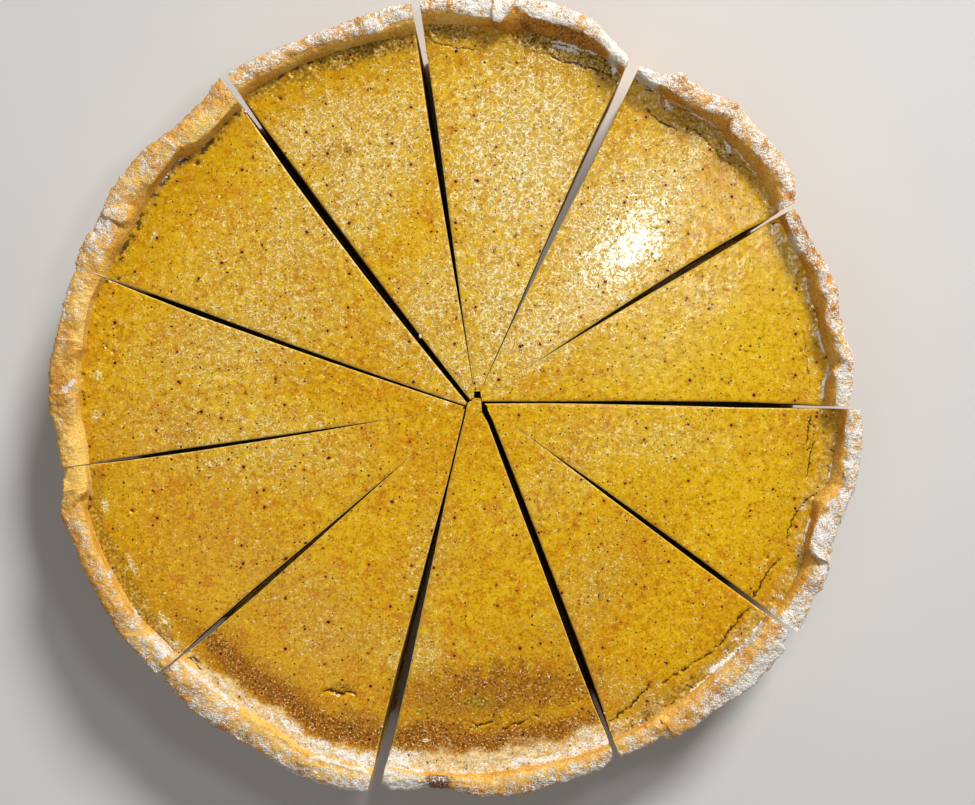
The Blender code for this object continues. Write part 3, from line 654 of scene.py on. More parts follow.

# Grooves at the folds, which are also painted darker as shade, pale smooth flaps, and streaks of
# sugar: bearing and radius of their points, half width, strength
GROOVES = (
    (((84.9, 138.0), (84.6, 131.0)), 0.5, 0.7), (((83.2, 129.8), (81.6, 135.6)), 0.6, 0.5),
    (((46.4, 133.6), (45.1, 134.4), (44.3, 131.0)), 0.5, 0.6),
    (((12.9, 133.4), (12.3, 129.0)), 0.5, 0.9), (((5.9, 131.6), (4.9, 133.6), (4.2, 131.0)), 0.6, 0.6),
    (((-13.2, 137.2), (-14.4, 134.0)), 0.6, 0.5),
    (((-24.9, 137.6), (-24.3, 134.6), (-23.5, 131.6)), 0.7, 0.9),
    (((-57.2, 134.6), (-58.0, 131.0)), 0.7, 0.5), (((-52.0, 132.8), (-56.8, 133.9)), 0.7, 0.5),
    (((-86.0, 134.4), (-88.0, 133.4), (-90.4, 133.2)), 0.6, 0.7),
    (((-104.0, 134.2), (-110.0, 134.6), (-115.0, 134.0), (-118.0, 132.8)), 0.6, 0.6),
    (((-163.4, 139.0), (-164.5, 135.0), (-165.7, 131.0), (-166.6, 129.4)), 0.9, 0.7),
    (((-178.4, 137.4), (-179.0, 134.6), (-180.2, 130.6)), 1.3, 0.7),
    (((-183.6, 138.0), (-185.3, 133.4), (-187.4, 128.8)), 1.3, 0.7),
    (((-207.2, 134.2), (-206.9, 127.6)), 0.4, 0.9), (((-203.6, 130.4), (-206.6, 128.6)), 0.9, 0.5),
    (((-210.4, 131.6), (-213.5, 129.6), (-221.0, 127.6)), 0.8, 0.6),
    (((-222.6, 129.0), (-221.6, 125.6)), 0.6, 0.8), (((-229.0, 126.0), (-233.0, 128.0)), 0.7, 0.5),
    (((-241.6, 130.6), (-242.2, 127.0)), 0.5, 0.5), (((-257.6, 128.0), (-259.4, 131.4)), 0.6, 0.5),
    (((-68.0, 131.5), (-78.0, 130.9), (-86.0, 131.8)), 0.7, 0.6),
)
PALE_FLAPS = (
    (((-14.6, 134.6), (-15.6, 130.6), (-17.0, 127.6)), 0.9, 1.0),
    (((-166.9, 136.8), (-167.6, 130.6)), 2.8, 1.0), (((-170.0, 130.8), (-176.5, 130.8)), 1.9, 0.9),
    (((-180.8, 129.9), (-186.0, 130.6)), 0.8, 0.9),
    (((-223.6, 128.2), (-226.0, 127.0), (-230.0, 127.6)), 2.2, 0.8),
    (((-36.0, 135.4), (-47.0, 135.0)), 1.9, 0.25), (((-103.5, 134.6), (-118.0, 134.2)), 1.0, 0.4),
    (((-67.0, 133.6), (-86.0, 133.4)), 1.0, 0.4), (((-199.0, 129.4), (-204.0, 129.2)), 1.2, 0.6),
    (((-211.0, 129.8), (-214.0, 129.2)), 1.0, 0.5), (((-26.0, 133.8), (-34.0, 133.6)), 0.8, 0.8),
    (((-190.0, 130.0), (-198.0, 130.0)), 0.9, 0.6),
)
SUGAR_STREAKS = (
    (((74.6, 127.4), (67.5, 128.2)), 0.4, 0.9), (((74.2, 126.0), (70.6, 126.2)), 0.6, 0.8),
    (((65.6, 129.0), (64.0, 125.4)), 1.2, 1.0), (((60.6, 127.0), (57.4, 127.0)), 1.2, 1.0),
    (((54.6, 125.6), (53.2, 123.4)), 0.7, 0.7),
    (((53.0, 127.0), (50.0, 127.9), (46.0, 129.6)), 0.4, 0.9),
    (((41.6, 128.8), (36.2, 129.0)), 0.35, 0.6), (((43.4, 127.8), (41.8, 127.0)), 0.6, 0.7),
    (((44.6, 133.4), (43.6, 131.2)), 0.6, 0.8), (((30.8, 131.0), (30.3, 126.6)), 0.8, 0.7),
    (((26.0, 128.4), (22.4, 127.4)), 0.7, 0.9),
    (((18.2, 127.8), (16.6, 127.0), (15.0, 125.8)), 0.6, 0.9),
    (((10.2, 126.8), (7.0, 127.7)), 0.5, 0.9),
    (((5.2, 129.4), (3.6, 129.0), (2.0, 127.0), (0.0, 126.6)), 0.5, 0.9),
    (((-6.2, 131.6), (-7.2, 131.5)), 0.4, 0.7), (((-9.6, 131.8), (-12.4, 131.8)), 0.4, 0.9),
    (((-19.0, 129.3), (-21.0, 129.2)), 0.5, 1.0), (((-22.0, 129.9), (-23.2, 130.3)), 0.4, 0.8),
    (((-33.4, 131.6), (-34.6, 133.0)), 0.8, 0.7), (((-36.4, 131.3), (-42.0, 131.6)), 0.9, 0.95),
    (((-42.0, 131.0), (-47.0, 129.4)), 1.3, 0.9), (((-47.6, 130.0), (-51.4, 129.8)), 0.35, 0.9),
    (((-66.8, 130.0), (-69.4, 128.0)), 0.8, 0.7),
    (((-71.6, 128.6), (-76.0, 128.8), (-81.0, 127.0)), 1.2, 0.75),
    (((-87.0, 129.6), (-90.6, 129.4)), 0.7, 0.6), (((-95.0, 129.6), (-101.4, 129.6)), 0.7, 1.0),
    (((-97.6, 127.6), (-101.0, 126.6)), 2.0, 0.85),
    (((-103.0, 132.6), (-108.0, 132.8), (-112.0, 133.4)), 0.5, 0.95),
    (((-103.0, 129.4), (-106.0, 128.6), (-113.0, 128.8), (-118.0, 127.0)), 1.4, 0.65),
    (((-119.0, 127.4), (-130.0, 127.6)), 1.2, 0.35), (((-125.0, 131.2), (-137.0, 131.2)), 0.8, 0.75),
    (((-137.6, 132.4), (-141.6, 133.0)), 1.2, 0.7), (((-143.0, 134.0), (-147.6, 133.0)), 0.5, 0.7),
    (((-151.6, 134.0), (-153.2, 134.0)), 0.5, 0.7), (((-181.0, 134.0), (-182.2, 131.2)), 0.8, 0.9),
    (((-241.0, 135.0), (-241.4, 132.8)), 0.6, 0.9), (((-213.4, 126.4), (-221.0, 125.6)), 0.4, 0.5),
)


class Value:
    """A value or colour that a shader works out. Its sums, differences and products with others or
    with plain numbers are Math nodes."""

    def __init__(self, tree, socket):
        """The value that an output of one of the tree's nodes gives."""
        self.tree, self.socket = tree, socket

    def reckoned(self, operation, *parts):
        """The outcome of one step of arithmetic on values and plain numbers."""
        node = add_node(self.tree, "ShaderNodeMath", dict(enumerate(parts)), operation=operation)
        return Value(self.tree, node.outputs[0])

    def __add__(self, other):
        """This value plus another or a number."""
        return self.reckoned("ADD", self, other)

    def __sub__(self, other):
        """This value less another or a number."""
        return self.reckoned("SUBTRACT", self, other)

    def __rsub__(self, other):
        """A number less this value."""
        return self.reckoned("SUBTRACT", other, self)

    def __mul__(self, other):
        """This value times another or a number."""
        return self.reckoned("MULTIPLY", self, other)

    def __abs__(self):
        """This value without its sign."""
        return self.reckoned("ABSOLUTE", self)

    __radd__, __rmul__ = __add__, __mul__


def add_node(tree, kind, inputs=None, **settings):
    """A shader node with its settings made, and its inputs set to numbers or joined to values."""
    made = tree.nodes.new(kind)
    for name, setting in settings.items():
        setattr(made, name, setting)
    for key, given in (inputs or {}).items():
        if isinstance(given, Value):
            tree.links.new(given.socket, made.inputs[key])
        else:
            made.inputs[key].default_value = given
    return made


def larger(first, second):
    """The larger of two values."""
    return first.reckoned("MAXIMUM", first, second)


def clamped(value):
    """A value that was just worked out, kept between 0 and 1."""
    value.socket.node.use_clamp = True
    return value


def between(value, low, high):
    """A smooth step from 0 at the low value to 1 at the high one."""
    node = add_node(value.tree, "ShaderNodeMapRange", {0: value, 1: low, 2: high},
                    interpolation_type="SMOOTHSTEP")
    return Value(value.tree, node.outputs[0])


def blend(share, first, second):
    """A colour between two others."""
    node = add_node(share.tree, "ShaderNodeMix", {0: share, 6: first, 7: second}, data_type="RGBA")
    return Value(share.tree, node.outputs[2])


def cloudy(place, size, detail=2.0, roughness=0.5):
    """Soft random values round a half, with blotches of about a size in mm."""
    node = add_node(place.tree, "ShaderNodeTexNoise", {
        "Vector": place, "Scale": 1 / (size * MM), "Detail": detail, "Roughness": roughness,
    })
    return Value(place.tree, node.outputs[0])


def mark(tree, name):
    """The value of a mark that the mesh carries."""
    return Value(tree, add_node(tree, "ShaderNodeAttribute", attribute_name=name).outputs["Fac"])


def new_finish(name):
    """A material with its shader and the place on the object that patterns are read from."""
    made = bpy.data.materials.new(name)
    made.use_nodes = True
    tree = made.node_tree
    place = Value(tree, tree.nodes.new("ShaderNodeTexCoord").outputs["Object"])
    return made, tree, tree.nodes["Principled BSDF"], place


def sugar_group():
    """Icing sugar sifted over a surface: it lies in a thin haze of dust, and in clumps and grains
    where the cover is above a random level, which are white, dull and a little raised."""
    group = bpy.data.node_groups.new("icing_sugar", "ShaderNodeTree")
    sockets = (
        ("INPUT", "Colour", "Color"), ("INPUT", "Roughness", "Float"), ("INPUT", "Cover", "Float"),
        ("INPUT", "Place", "Vector"), ("OUTPUT", "Colour", "Color"), ("OUTPUT", "Roughness", "Float"),
        ("OUTPUT", "Height", "Float"),
    )
    for way, name, kind in sockets:
        group.interface.new_socket(name, in_out=way, socket_type="NodeSocket" + kind)
    outputs = group.nodes.new("NodeGroupInput").outputs
    given = {out.name: Value(group, out) for out in outputs if out.name}
    place, cover, roughness = given["Place"], given["Cover"], given["Roughness"]
    clump = cloudy(place, 3.4, 3.0, 0.6)
    grain = cloudy(place, 0.6, 1.0)
    lies = between(clump * 1.3 + grain * 1.5 + cover * 0.62, 1.67, 1.75) * between(cover, 0.0, 0.12)
    white = blend(cloudy(place, 1.1), tint(226, 218, 204), tint(250, 249, 246))
    haze = between(clump, 0.3, 0.65) * (cover * 0.5)
    colour = blend(haze, given["Colour"], tint(238, 224, 196))
    add_node(group, "NodeGroupOutput", {
        "Colour": blend(lies * 0.93, colour, white), "Roughness": roughness + lies * (0.95 - roughness),
        "Height": lies * grain,
    })
    return group


def dust_over(shader, place, colour, roughness):
    """Joins a colour and a roughness to a shader with icing sugar sifted over them, and returns the
    height of the sugar."""
    sugared = add_node(place.tree, "ShaderNodeGroup", {
        "Colour": colour, "Roughness": roughness, "Cover": mark(place.tree, "sugar"), "Place": place,
    }, node_tree=icing_sugar)
    place.tree.links.new(sugared.outputs["Colour"], shader.inputs["Base Color"])
    place.tree.links.new(sugared.outputs["Roughness"], shader.inputs["Roughness"])
    return Value(place.tree, sugared.outputs["Height"])


def add_bump(shader, height, strength, distance):
    """Joins a height to a shader as bump that stands up to a distance in mm."""
    bump = add_node(height.tree, "ShaderNodeBump", {
        "Height": height, "Strength": strength, "Distance": distance * MM,
    })
    height.tree.links.new(bump.outputs[0], shader.inputs["Normal"])


icing_sugar = sugar_group()

pastry_finish, tree, shader, place = new_finish("baked_pastry")
wide_cloud = cloudy(place, 7.0, 3.0, 0.6)
fine_cloud = cloudy(place, 1.2, 3.0, 0.6)
crumb = cloudy(place, 0.55, 3.0, 0.65)
toast = clamped(mark(tree, "toast") + (wide_cloud - 0.5) * 0.9 + (fine_cloud - 0.5) * 0.9)
colour = blend(between(toast, 0.0, 0.4), tint(250, 206, 104), tint(232, 168, 60))
colour = blend(between(toast, 0.35, 0.68), colour, tint(202, 130, 34))
colour = blend(between(toast, 0.66, 1.0), colour, tint(120, 64, 10))
burnt = mark(tree, "scorch") + (fine_cloud - 0.5) * 1.4
colour = blend(between(burnt, 0.25, 1.1), colour, tint(96, 34, 22))
# painted shade: the fold grooves are darker orange, on top of their real dip
groove_shade = mark(tree, "groove_shade") * (0.4 + fine_cloud)
colour = blend(between(groove_shade, 0.15, 0.9), colour, tint(204, 128, 34))
colour = blend(between(crumb, 0.54, 0.66) * 0.6, colour, tint(140, 82, 22))
colour = blend(between(crumb, 0.46, 0.36) * 0.5, colour, tint(252, 212, 124))
sugar = dust_over(shader, place, colour, 0.4 + fine_cloud * 0.3)
add_bump(shader, crumb + fine_cloud * 1.2 + sugar * 0.8, 0.9, 0.4)
shader.inputs["Specular IOR Level"].default_value = 0.4


def profile_grid(number, turns, side, weights):
    """Radius and height over a grid of profile rows and turns. Each profile point is read at the
    bearing that its own radius has on that turn, found by trying twice."""
    middle_x, middle_y = plan_place(number, turns, np.full_like(turns, IN_LIP))
    bearing = np.degrees(np.arctan2(middle_y, middle_x))
    controls = []
    for i, (radius, height) in enumerate(pastry_points(bearing)[side]):
        x, y = plan_place(number, turns, np.maximum(radius, JOIN))
        controls.append(pastry_points(np.degrees(np.arctan2(y, x)))[side][i])
    radii = weights @ np.array([pair[0] for pair in controls])
    heights = weights @ np.array([pair[1] for pair in controls])
    return radii, np.maximum(heights, 0.0)


top_weights = smooth_rows(TOP_ROWS)
under_weights = smooth_rows(UNDER_ROWS)
pastry_rows = sum(TOP_ROWS) + 1
face_row = sum(TOP_ROWS[:5])
lip_row = sum(TOP_ROWS[:7])

for number in range(1, SLICES + 1):
    turns = spread_turns(PASTRY_COLUMNS)
    shape = (PASTRY_COLUMNS, pastry_rows, PASTRY_LAYERS)
    quads = block_faces(shape)
    used, faces = np.unique(quads, return_inverse=True)
    column, row, layer = np.unravel_index(used, shape)
    turn, depth = turns[column], layer / (PASTRY_LAYERS - 1)

    top_r, top_z = profile_grid(number, turns, 0, top_weights)
    under_r, under_z = profile_grid(number, turns, 1, under_weights)
    radius = top_r[row, column] * (1 - depth) + under_r[row, column] * depth
    z = top_z[row, column] * (1 - depth) + under_z[row, column] * depth

    x, y = plan_place(number, turn, radius)
    bearing = np.degrees(np.arctan2(y, x))
    edge, shore, face_width = rim_lines(bearing)
    on_lip = np.clip((row - face_row) / (lip_row - face_row), 0.0, 1.0)
    upper = on_lip * (1 - depth)
    grooves = rim_strokes(x, y, GROOVES, MARK_LEVEL) * upper
    flaps = rim_strokes(x, y, PALE_FLAPS, MARK_LEVEL) * upper
    relief = layered_lumps(x, y, LIP_LUMPS, 11) * (1 - 0.75 * flaps) - 0.5 * grooves
    z = z + relief * upper * np.clip((edge - radius) / RELIEF_FADE, RELIEF_LEAST, 1.0)
    arc = np.radians(bearing % 360.0) * BASE_RADIUS
    ragged = layered_lumps(arc, z * 0.7, RAGGED_EDGE, 23) + 0.1
    near_edge = np.clip(1 - (edge - radius) / RAGGED_REACH, 0.0, 1.0) ** 2 * on_lip
    outside = np.clip(depth * 2 - 1, 0, 1) * (1 - on_lip) * (radius > JOIN)
    radius = radius - ragged * near_edge
    radius = radius + layered_lumps(arc, z, WALL_LUMPS, 31) * outside * np.clip(z / 3.0, 0, 1)

    gap_left, gap_right = gap_at(number, radius), gap_at(number + 1, radius)
    left, right = CUT_FEET[number - 1], CUT_FEET[number % SLICES]
    crumble = 1 + layered_lumps(radius, z + 40 * turn, BASE_CRUMBLE, 37 + number)
    low = np.clip((CRUMBLE_TOP - z) / CRUMBLE_FADE, 0.0, 1.0)
    low = low * (radius < foot_radius(bearing) - CRUMBLE_IN)
    leaning = (1 - low) * np.clip(1 - z / LIP_LEVEL, 0, 1)
    lean_left = (left[3] * low * crumble + left[1] * leaning) * gap_left
    lean_right = (right[2] * low * crumble + right[0] * leaning) * gap_right
    x, y = plan_place(number, turn, radius)
    shift_x, shift_y = step_out(number, turn, radius, lean_left, lean_right, PASTRY_LEAN)
    x, y = x + shift_x, y + shift_y

    lip_share = np.clip((edge - radius) / np.maximum(edge - shore - face_width, 1.0), 0.0, 1.0)
    on_face = np.clip((lip_row + 1 - row) / 2, 0.0, 1.0) * (row >= face_row - 1)
    cut_face = ((column == 0) | (column == PASTRY_COLUMNS - 1)).astype(float)
    outer_tone, inner_tone, wall_tone_and_shade, outer_sugar, inner_sugar = round_rim(LIP_LOOKS, bearing)
    toast_value = outer_tone + (inner_tone - outer_tone) * np.clip(lip_share * 2.2 - 0.6, 0, 1)
    # the wall takes its listed tone, which is partly its baked colour and partly painted shade
    toast_value = toast_value + (WALL_SHARE * wall_tone_and_shade - toast_value) * on_face
    toast_value = toast_value + 0.14 * lumps(x, y, 9.0, 5) - 0.16 * flaps
    toast_value = toast_value + 0.12 * np.clip(1 - (edge - radius) / 1.3, 0, 1)
    toast_value = np.where(radius < JOIN, BASE_TONE, toast_value)
    toast_value = np.where(depth > 0.5, UNDER_TONE, toast_value)
    toast_value = np.where(cut_face > 0, CUT_TONE, toast_value)
    scorch = soft_spots(x, y, rim_spots(SCORCHED)) * on_lip * (depth < 0.5)
    sugar_value = outer_sugar + (inner_sugar - outer_sugar) * np.clip(lip_share * 1.8 - 0.4, 0, 1)
    sugar_value = sugar_value * (row > lip_row) * (1 - 0.9 * flaps)
    sugar_value = np.maximum(sugar_value, rim_strokes(x, y, SUGAR_STREAKS, PLAN_LEVEL))
    sugar_value = sugar_value * (layer == 0) * (1 - cut_face) * (1 - 0.7 * grooves)
    sugar_value = sugar_value * (1 - 0.6 * np.minimum(scorch, 1.0))

    places = into_box(np.stack([x, y, z], axis=1))
    marks = {"toast": toast_value, "scorch": scorch, "sugar": sugar_value, "groove_shade": grooves}
    faces = faces.reshape(-1, 4).tolist()
    piece = add_piece(f"pastry_{number:02d}", places, faces, pastry_finish, marks)
    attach(piece, "root")
    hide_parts(f"crust_{number:02d}")


# Filling of the slices: pumpkin custard baked in the shell until its skin browned in a fine net
# of bubbles. It rises in a dry foamy edge at the pastry, and its cut faces are smooth, their
# darker colour partly painted shade.

BROAD_SWELL = (0.35, 23.0, 29.0)
SLANTED_SWELL = (0.22, 11.0, 15.0)
SWELL_STARTS = (0.5, -0.3)
FILLING_COLUMNS = 190
FILLING_ROWS = 250
FILLING_LAYERS = 9
ROW_CLUSTER = 1.25
SKIN_LUMPS = ((6.0, 0.04), (2.6, 0.025), (1.25, 0.02))
SHORE_LUMPS = ((4.5, 0.4), (2.0, 0.32), (1.1, 0.2))

# Edge along a cut: depth and reach of its rounding, half width of its painted highlight line, the
# gap that counts as open, the reach of the cut faces' lean, and the painted shade beside it, in an
# olive tone
EDGE_ROUND, ROUND_REACH = 0.35, 0.35
CUT_HIGHLIGHT = 0.16
OPEN_GAP = 0.5
FILLING_LEAN = 3.0
CUT_SHADE, CUT_SHADE_REACH = 0.35, 0.9

# Edge at the pastry: how far above its level the skin may stand, how far in its olive tone, partly
# painted shade, and its pores reach, and browned rings inside it (strength, how far in and half width)
SKIN_MOST = 1.2
EDGE_SHADE_REACH = 18.0
POROUS_REACH = 2.9
BROWN_RINGS = ((0.6, 10.0, 9.0), (0.7, 9.5, 3.2))

# Small pits in the skin: spacing, share of places that have one, radius, depth and random start
PITS = ((3.1, 0.12, 0.45, 0.15, 3), (7.5, 0.25, 0.8, 0.2, 8))

# How the filling's side goes down the pastry: clearances, and the share of its rows at each corner
FLOOR_CLEAR = 0.3
FOOT_CLEAR = 0.42
WALL_SHARES = (0.0, 0.34, 0.9, 1.0)

# Cracks in the skin as they look from above: bearing and radius of their points, half width, depth
CRACKS = (
    (((75.0, 122.6), (73.0, 121.0), (70.5, 121.8), (66.0, 123.0), (63.6, 122.6)), 0.32, 0.5),
    (((94.0, 122.4), (90.0, 120.4), (86.6, 119.8)), 0.2, 0.3),
    (((56.6, 118.6), (54.0, 118.2), (50.6, 119.2)), 0.3, 0.6),
    (((50.0, 122.6), (46.0, 123.6), (42.4, 123.0), (40.0, 124.0)), 0.22, 0.4),
    (((12.0, 121.8), (6.0, 121.6), (0.5, 122.2)), 0.1, 0.2),
    (((-2.8, 122.6), (-5.6, 121.8), (-7.6, 122.0)), 0.26, 0.5),
    (((-7.0, 124.4), (-9.0, 123.8), (-13.4, 123.9)), 0.22, 0.4),
    (((-15.0, 128.2), (-16.4, 125.6), (-19.0, 123.8), (-24.0, 123.6)), 0.3, 0.6),
    (((-26.4, 125.0), (-28.6, 123.2), (-34.6, 123.5)), 0.34, 0.7),
    (((-35.6, 124.6), (-37.4, 123.8), (-43.0, 124.6), (-44.4, 124.4)), 0.34, 0.7),
    (((-44.6, 124.8), (-47.0, 123.4), (-51.0, 122.0), (-54.4, 121.4)), 0.28, 0.6),
    (((-55.4, 119.2), (-58.4, 121.0), (-61.6, 122.8), (-65.0, 123.4)), 0.4, 0.9),
    (((-87.2, 112.4), (-86.5, 114.2), (-85.1, 113.4), (-83.1, 112.4)), 0.26, 0.8),
    (((-82.0, 116.2), (-80.3, 115.0), (-77.4, 114.0)), 0.26, 0.8),
    (((-76.4, 113.4), (-75.5, 114.4)), 0.22, 0.6), (((-71.3, 112.7), (-67.0, 113.0)), 0.1, 0.2),
    (((-114.4, 111.8), (-113.1, 110.1), (-111.1, 110.2), (-110.4, 108.8), (-109.4, 108.1),
      (-108.4, 108.5)), 0.4, 1.1),
    (((-132.6, 129.4), (-135.6, 128.8)), 0.6, 0.9),
    (((-163.8, 133.0), (-165.4, 131.2), (-166.4, 129.6), (-169.2, 128.8)), 0.2, 0.3),
    (((-137.6, 130.6), (-140.4, 130.4), (-143.0, 131.8)), 0.26, 0.5),
)
CRACK_REACH = 1.6
CRACK_FAR = 9.0


def pits(x, y, size, share, radius, depth, seed):
    """Small round hollows: some cells of a net hold one, each with its own place, size and depth,
    and it is a bowl with a low ridge round it."""
    total = np.zeros_like(x)
    column, row = np.floor(x / size), np.floor(y / size)
    for right in (-1, 0, 1):
        for up in (-1, 0, 1):
            cell_x, cell_y = column + right, row + up
            place_x = (cell_x + 0.2 + 0.6 * cell_numbers(cell_x, cell_y, seed)) * size
            place_y = (cell_y + 0.2 + 0.6 * cell_numbers(cell_x, cell_y, seed + 1)) * size
            chosen = cell_numbers(cell_x, cell_y, seed + 2)
            own = radius * (0.5 + cell_numbers(cell_x, cell_y, seed + 3))
            away = np.hypot(x - place_x, y - place_y) / own
            bowl = np.where(away < 1, -((1 - away**2) ** 2), 0.25 * np.exp(-((away - 1.3) ** 2) * 12))
            total = total + np.where(chosen < share, bowl * depth * own / radius, 0.0)
    return total


def filling_level(x, y, reach):
    """Height of the filling: nearly level with slow swells, climbing a little at the pastry."""
    bearing = np.degrees(np.arctan2(y, x))
    height, width_x, width_y = BROAD_SWELL
    swell = height * np.sin(x / width_x + SWELL_STARTS[0]) * np.cos(y / width_y + SWELL_STARTS[1])
    height, width_x, width_y = SLANTED_SWELL
    swell = swell + height * np.sin(x / width_x - y / width_y)
    climb = shore_level(bearing) - FILLING_LEVEL
    return FILLING_LEVEL + swell * (1 - reach**6) + climb * reach**12


def crack_lines(x, y):
    """Hollow, signed distance and strength of the cracks: each is a wavering line, read nearest
    first, and its strength ends with it."""
    middle = math.degrees(math.atan2(y.mean(), x.mean()))
    near_x = x + 0.5 * lumps(x, y, 2.4, 71) + 0.3 * lumps(x, y, 1.0, 72)
    near_y = y + 0.5 * lumps(x, y, 2.4, 73) + 0.3 * lumps(x, y, 1.0, 74)
    hollow = np.zeros_like(x)
    nearest, weight = np.full_like(x, CRACK_FAR), np.zeros_like(x)
    for points, half_width, deep in CRACKS:
        if abs(turn_apart(points[0][0], middle)) > MARK_TURN:
            continue
        line = [rim_place(bearing, radius, FILLING_LEVEL) for bearing, radius in points]
        away, share = line_distance(near_x, near_y, line)
        ends = np.clip(np.minimum(share, 1 - share) * 8 + 0.3, 0.0, 1.0)
        hollow = hollow - deep * np.exp(-((away / (half_width * 1.6)) ** 2)) * ends
        scaled = away / half_width
        closer = np.abs(scaled) < np.abs(nearest)
        nearest = np.where(closer, scaled, nearest)
        held = ends * np.clip((CRACK_REACH - np.abs(away)) / 0.8, 0.0, 1.0)
        weight = np.where(closer, held, weight)
    return hollow, np.clip(nearest, -CRACK_FAR, CRACK_FAR), weight


# Browned, olive and lemon places of the skin, and places where glints and glare are painted on it
# in pale colour: step right and down, turn, half length, half width, strength
BROWNED = (
    (500, 690, 4, 100, 34, 0.75), (560, 690, 14, 56, 24, 0.6), (440, 700, -20, 60, 30, 0.6),
    (290, 712, -28, 90, 24, 0.7), (360, 726, -12, 44, 18, 0.7), (430, 730, 0, 44, 14, 0.9),
    (498, 704, 0, 7, 7, 1.2), (330, 150, 20, 24, 14, 0.35), (348, 150, 0, 7, 6, 0.7),
    (600, 588, 0, 16, 12, 0.35), (205, 660, -40, 26, 12, 0.6), (640, 700, 30, 40, 10, 0.3),
    (500, 300, 0, 14, 8, 0.25), (185, 430, 0, 16, 8, 0.3), (260, 330, 30, 20, 8, 0.25),
    (520, 640, 0, 70, 30, 0.25), (540, 722, 0, 50, 12, 0.5), (310, 610, -40, 130, 60, 0.16),
    (620, 560, 55, 120, 50, 0.2), (210, 540, 40, 110, 70, 0.1),
)
OLIVE = (
    (478, 702, 0, 20, 11, 0.9), (516, 704, 0, 12, 7, 0.5), (430, 706, 10, 14, 8, 0.3),
    (344, 686, -4, 12, 5, 0.9), (150, 640, -55, 30, 7, 0.35), (360, 664, 0, 10, 4, 0.3),
)
LEMON = (
    (720, 330, 24, 150, 100, 1.0), (720, 470, -14, 140, 80, 0.8), (640, 250, 50, 90, 60, 0.5),
    (590, 560, 60, 80, 40, 0.3),
)
PAINTED_GLINTS = (
    (632, 246, 20, 44, 30, 1.3), (520, 150, 85, 110, 80, 0.95), (500, 300, 88, 80, 36, 0.8),
    (370, 170, 58, 120, 52, 0.75), (430, 300, 60, 70, 40, 0.6), (620, 230, 55, 110, 64, 1.0),
    (540, 330, 40, 60, 40, 0.8), (300, 230, 60, 90, 46, 0.5), (470, 360, 0, 60, 40, 0.6),
    (704, 294, 0, 30, 20, 0.5), (640, 350, 20, 60, 26, 0.3), (640, 440, 0, 110, 26, 0.35),
    (560, 480, 40, 80, 30, 0.3), (250, 330, 20, 120, 60, 0.5), (230, 260, 50, 90, 50, 0.35),
    (320, 130, 30, 70, 34, 0.7), (250, 440, -10, 130, 50, 0.42), (240, 370, 14, 120, 34, 0.15),
    (300, 590, -40, 90, 36, 0.15), (430, 560, 80, 60, 30, 0.25), (370, 640, 0, 40, 20, 0.25),
    (690, 160, 50, 60, 18, 0.7), (640, 700, -30, 60, 20, 0.3), (540, 100, 0, 60, 24, 0.8),
    (415, 650, 0, 34, 24, 0.55), (320, 640, -20, 40, 20, 0.25), (590, 590, 60, 60, 30, 0.25),
)


def skin_spots(x, y, spots):
    """How strongly each place of the skin is marked by ovals that are listed by the steps right and
    down where they are seen, with their sizes in steps."""
    made = []
    for right, down, turn, long, wide, strength in spots:
        middle = seen_place(right, down, FILLING_LEVEL)
        made.append((*middle, turn, long * STEP, wide * STEP, strength))
    return soft_spots(x, y, made)


filling_finish, tree, shader, place = new_finish("baked_custard")
broad = cloudy(place, 30.0, 1.0)
blotch = cloudy(place, 6.0, 3.0, 0.65)
mottle = cloudy(place, 2.4, 2.0, 0.6)
grain = cloudy(place, 0.95, 2.0, 0.55)
net = cloudy(place, 1.8, 1.0)
pimple = cloudy(place, 0.65, 1.0)
browned, olive_and_shade, glint_sheen, foam = (mark(tree, name) for name in ("browned", "olive_and_shade", "glint_sheen", "foam"))
wander = mottle - 0.5

# base tones, from golden to orange in blotches, with darker grains
colour = blend(between(broad, 0.35, 0.65), tint(212, 152, 0), tint(220, 168, 0))
orange = clamped(between(blotch, 0.51, 0.65) + browned * 0.8) * (0.8 - glint_sheen * 0.5)
colour = blend(orange, colour, tint(202, 116, 0))
colour = blend(mark(tree, "lemon") * 0.8, colour, tint(222, 182, 8))
# painted sheen: the skin is paler where glints of light are painted on it
colour = blend(glint_sheen * 0.8, colour, tint(206, 180, 90))
colour = blend(between(mottle, 0.5, 0.75), colour, tint(232, 186, 12))
colour = blend(between(mottle, 0.5, 0.3) * 0.6, colour, tint(186, 124, 0))
colour = blend(between(grain, 0.46, 0.34) * 0.6, colour, tint(162, 104, 0))
colour = blend(between(grain, 0.53, 0.66) * 0.5, colour, tint(238, 192, 30))

# browned places, olive places that are partly painted shade (their damp grains carry painted
# pale glints), and dry creamy places
baked = blend(between(grain, 0.36, 0.56), tint(104, 58, 2), tint(156, 98, 10))
baked = blend(between(pimple, 0.56, 0.68), baked, tint(216, 160, 88))
brown = between(browned + wander * 0.9, 0.0, 1.0) * between(browned, 0.0, 0.2)
colour = blend(brown, colour, baked)
colour = blend(olive_and_shade * 0.9, colour, tint(172, 126, 0))
damp = blend(between(grain, 0.34, 0.52), tint(98, 66, 0), tint(158, 116, 6))
damp = blend(between(grain, 0.52, 0.66), damp, tint(208, 174, 80))
colour = blend(between((olive_and_shade - 0.35) * (1.0 + mottle), 0.05, 1.0), colour, damp)
dry = between(foam + wander * 1.3, 0.15, 0.85) * between(foam, 0.0, 0.2)
cream = blend(between(grain, 0.36, 0.62), tint(206, 160, 88), tint(238, 208, 148))
colour = blend(dry, colour, cream)

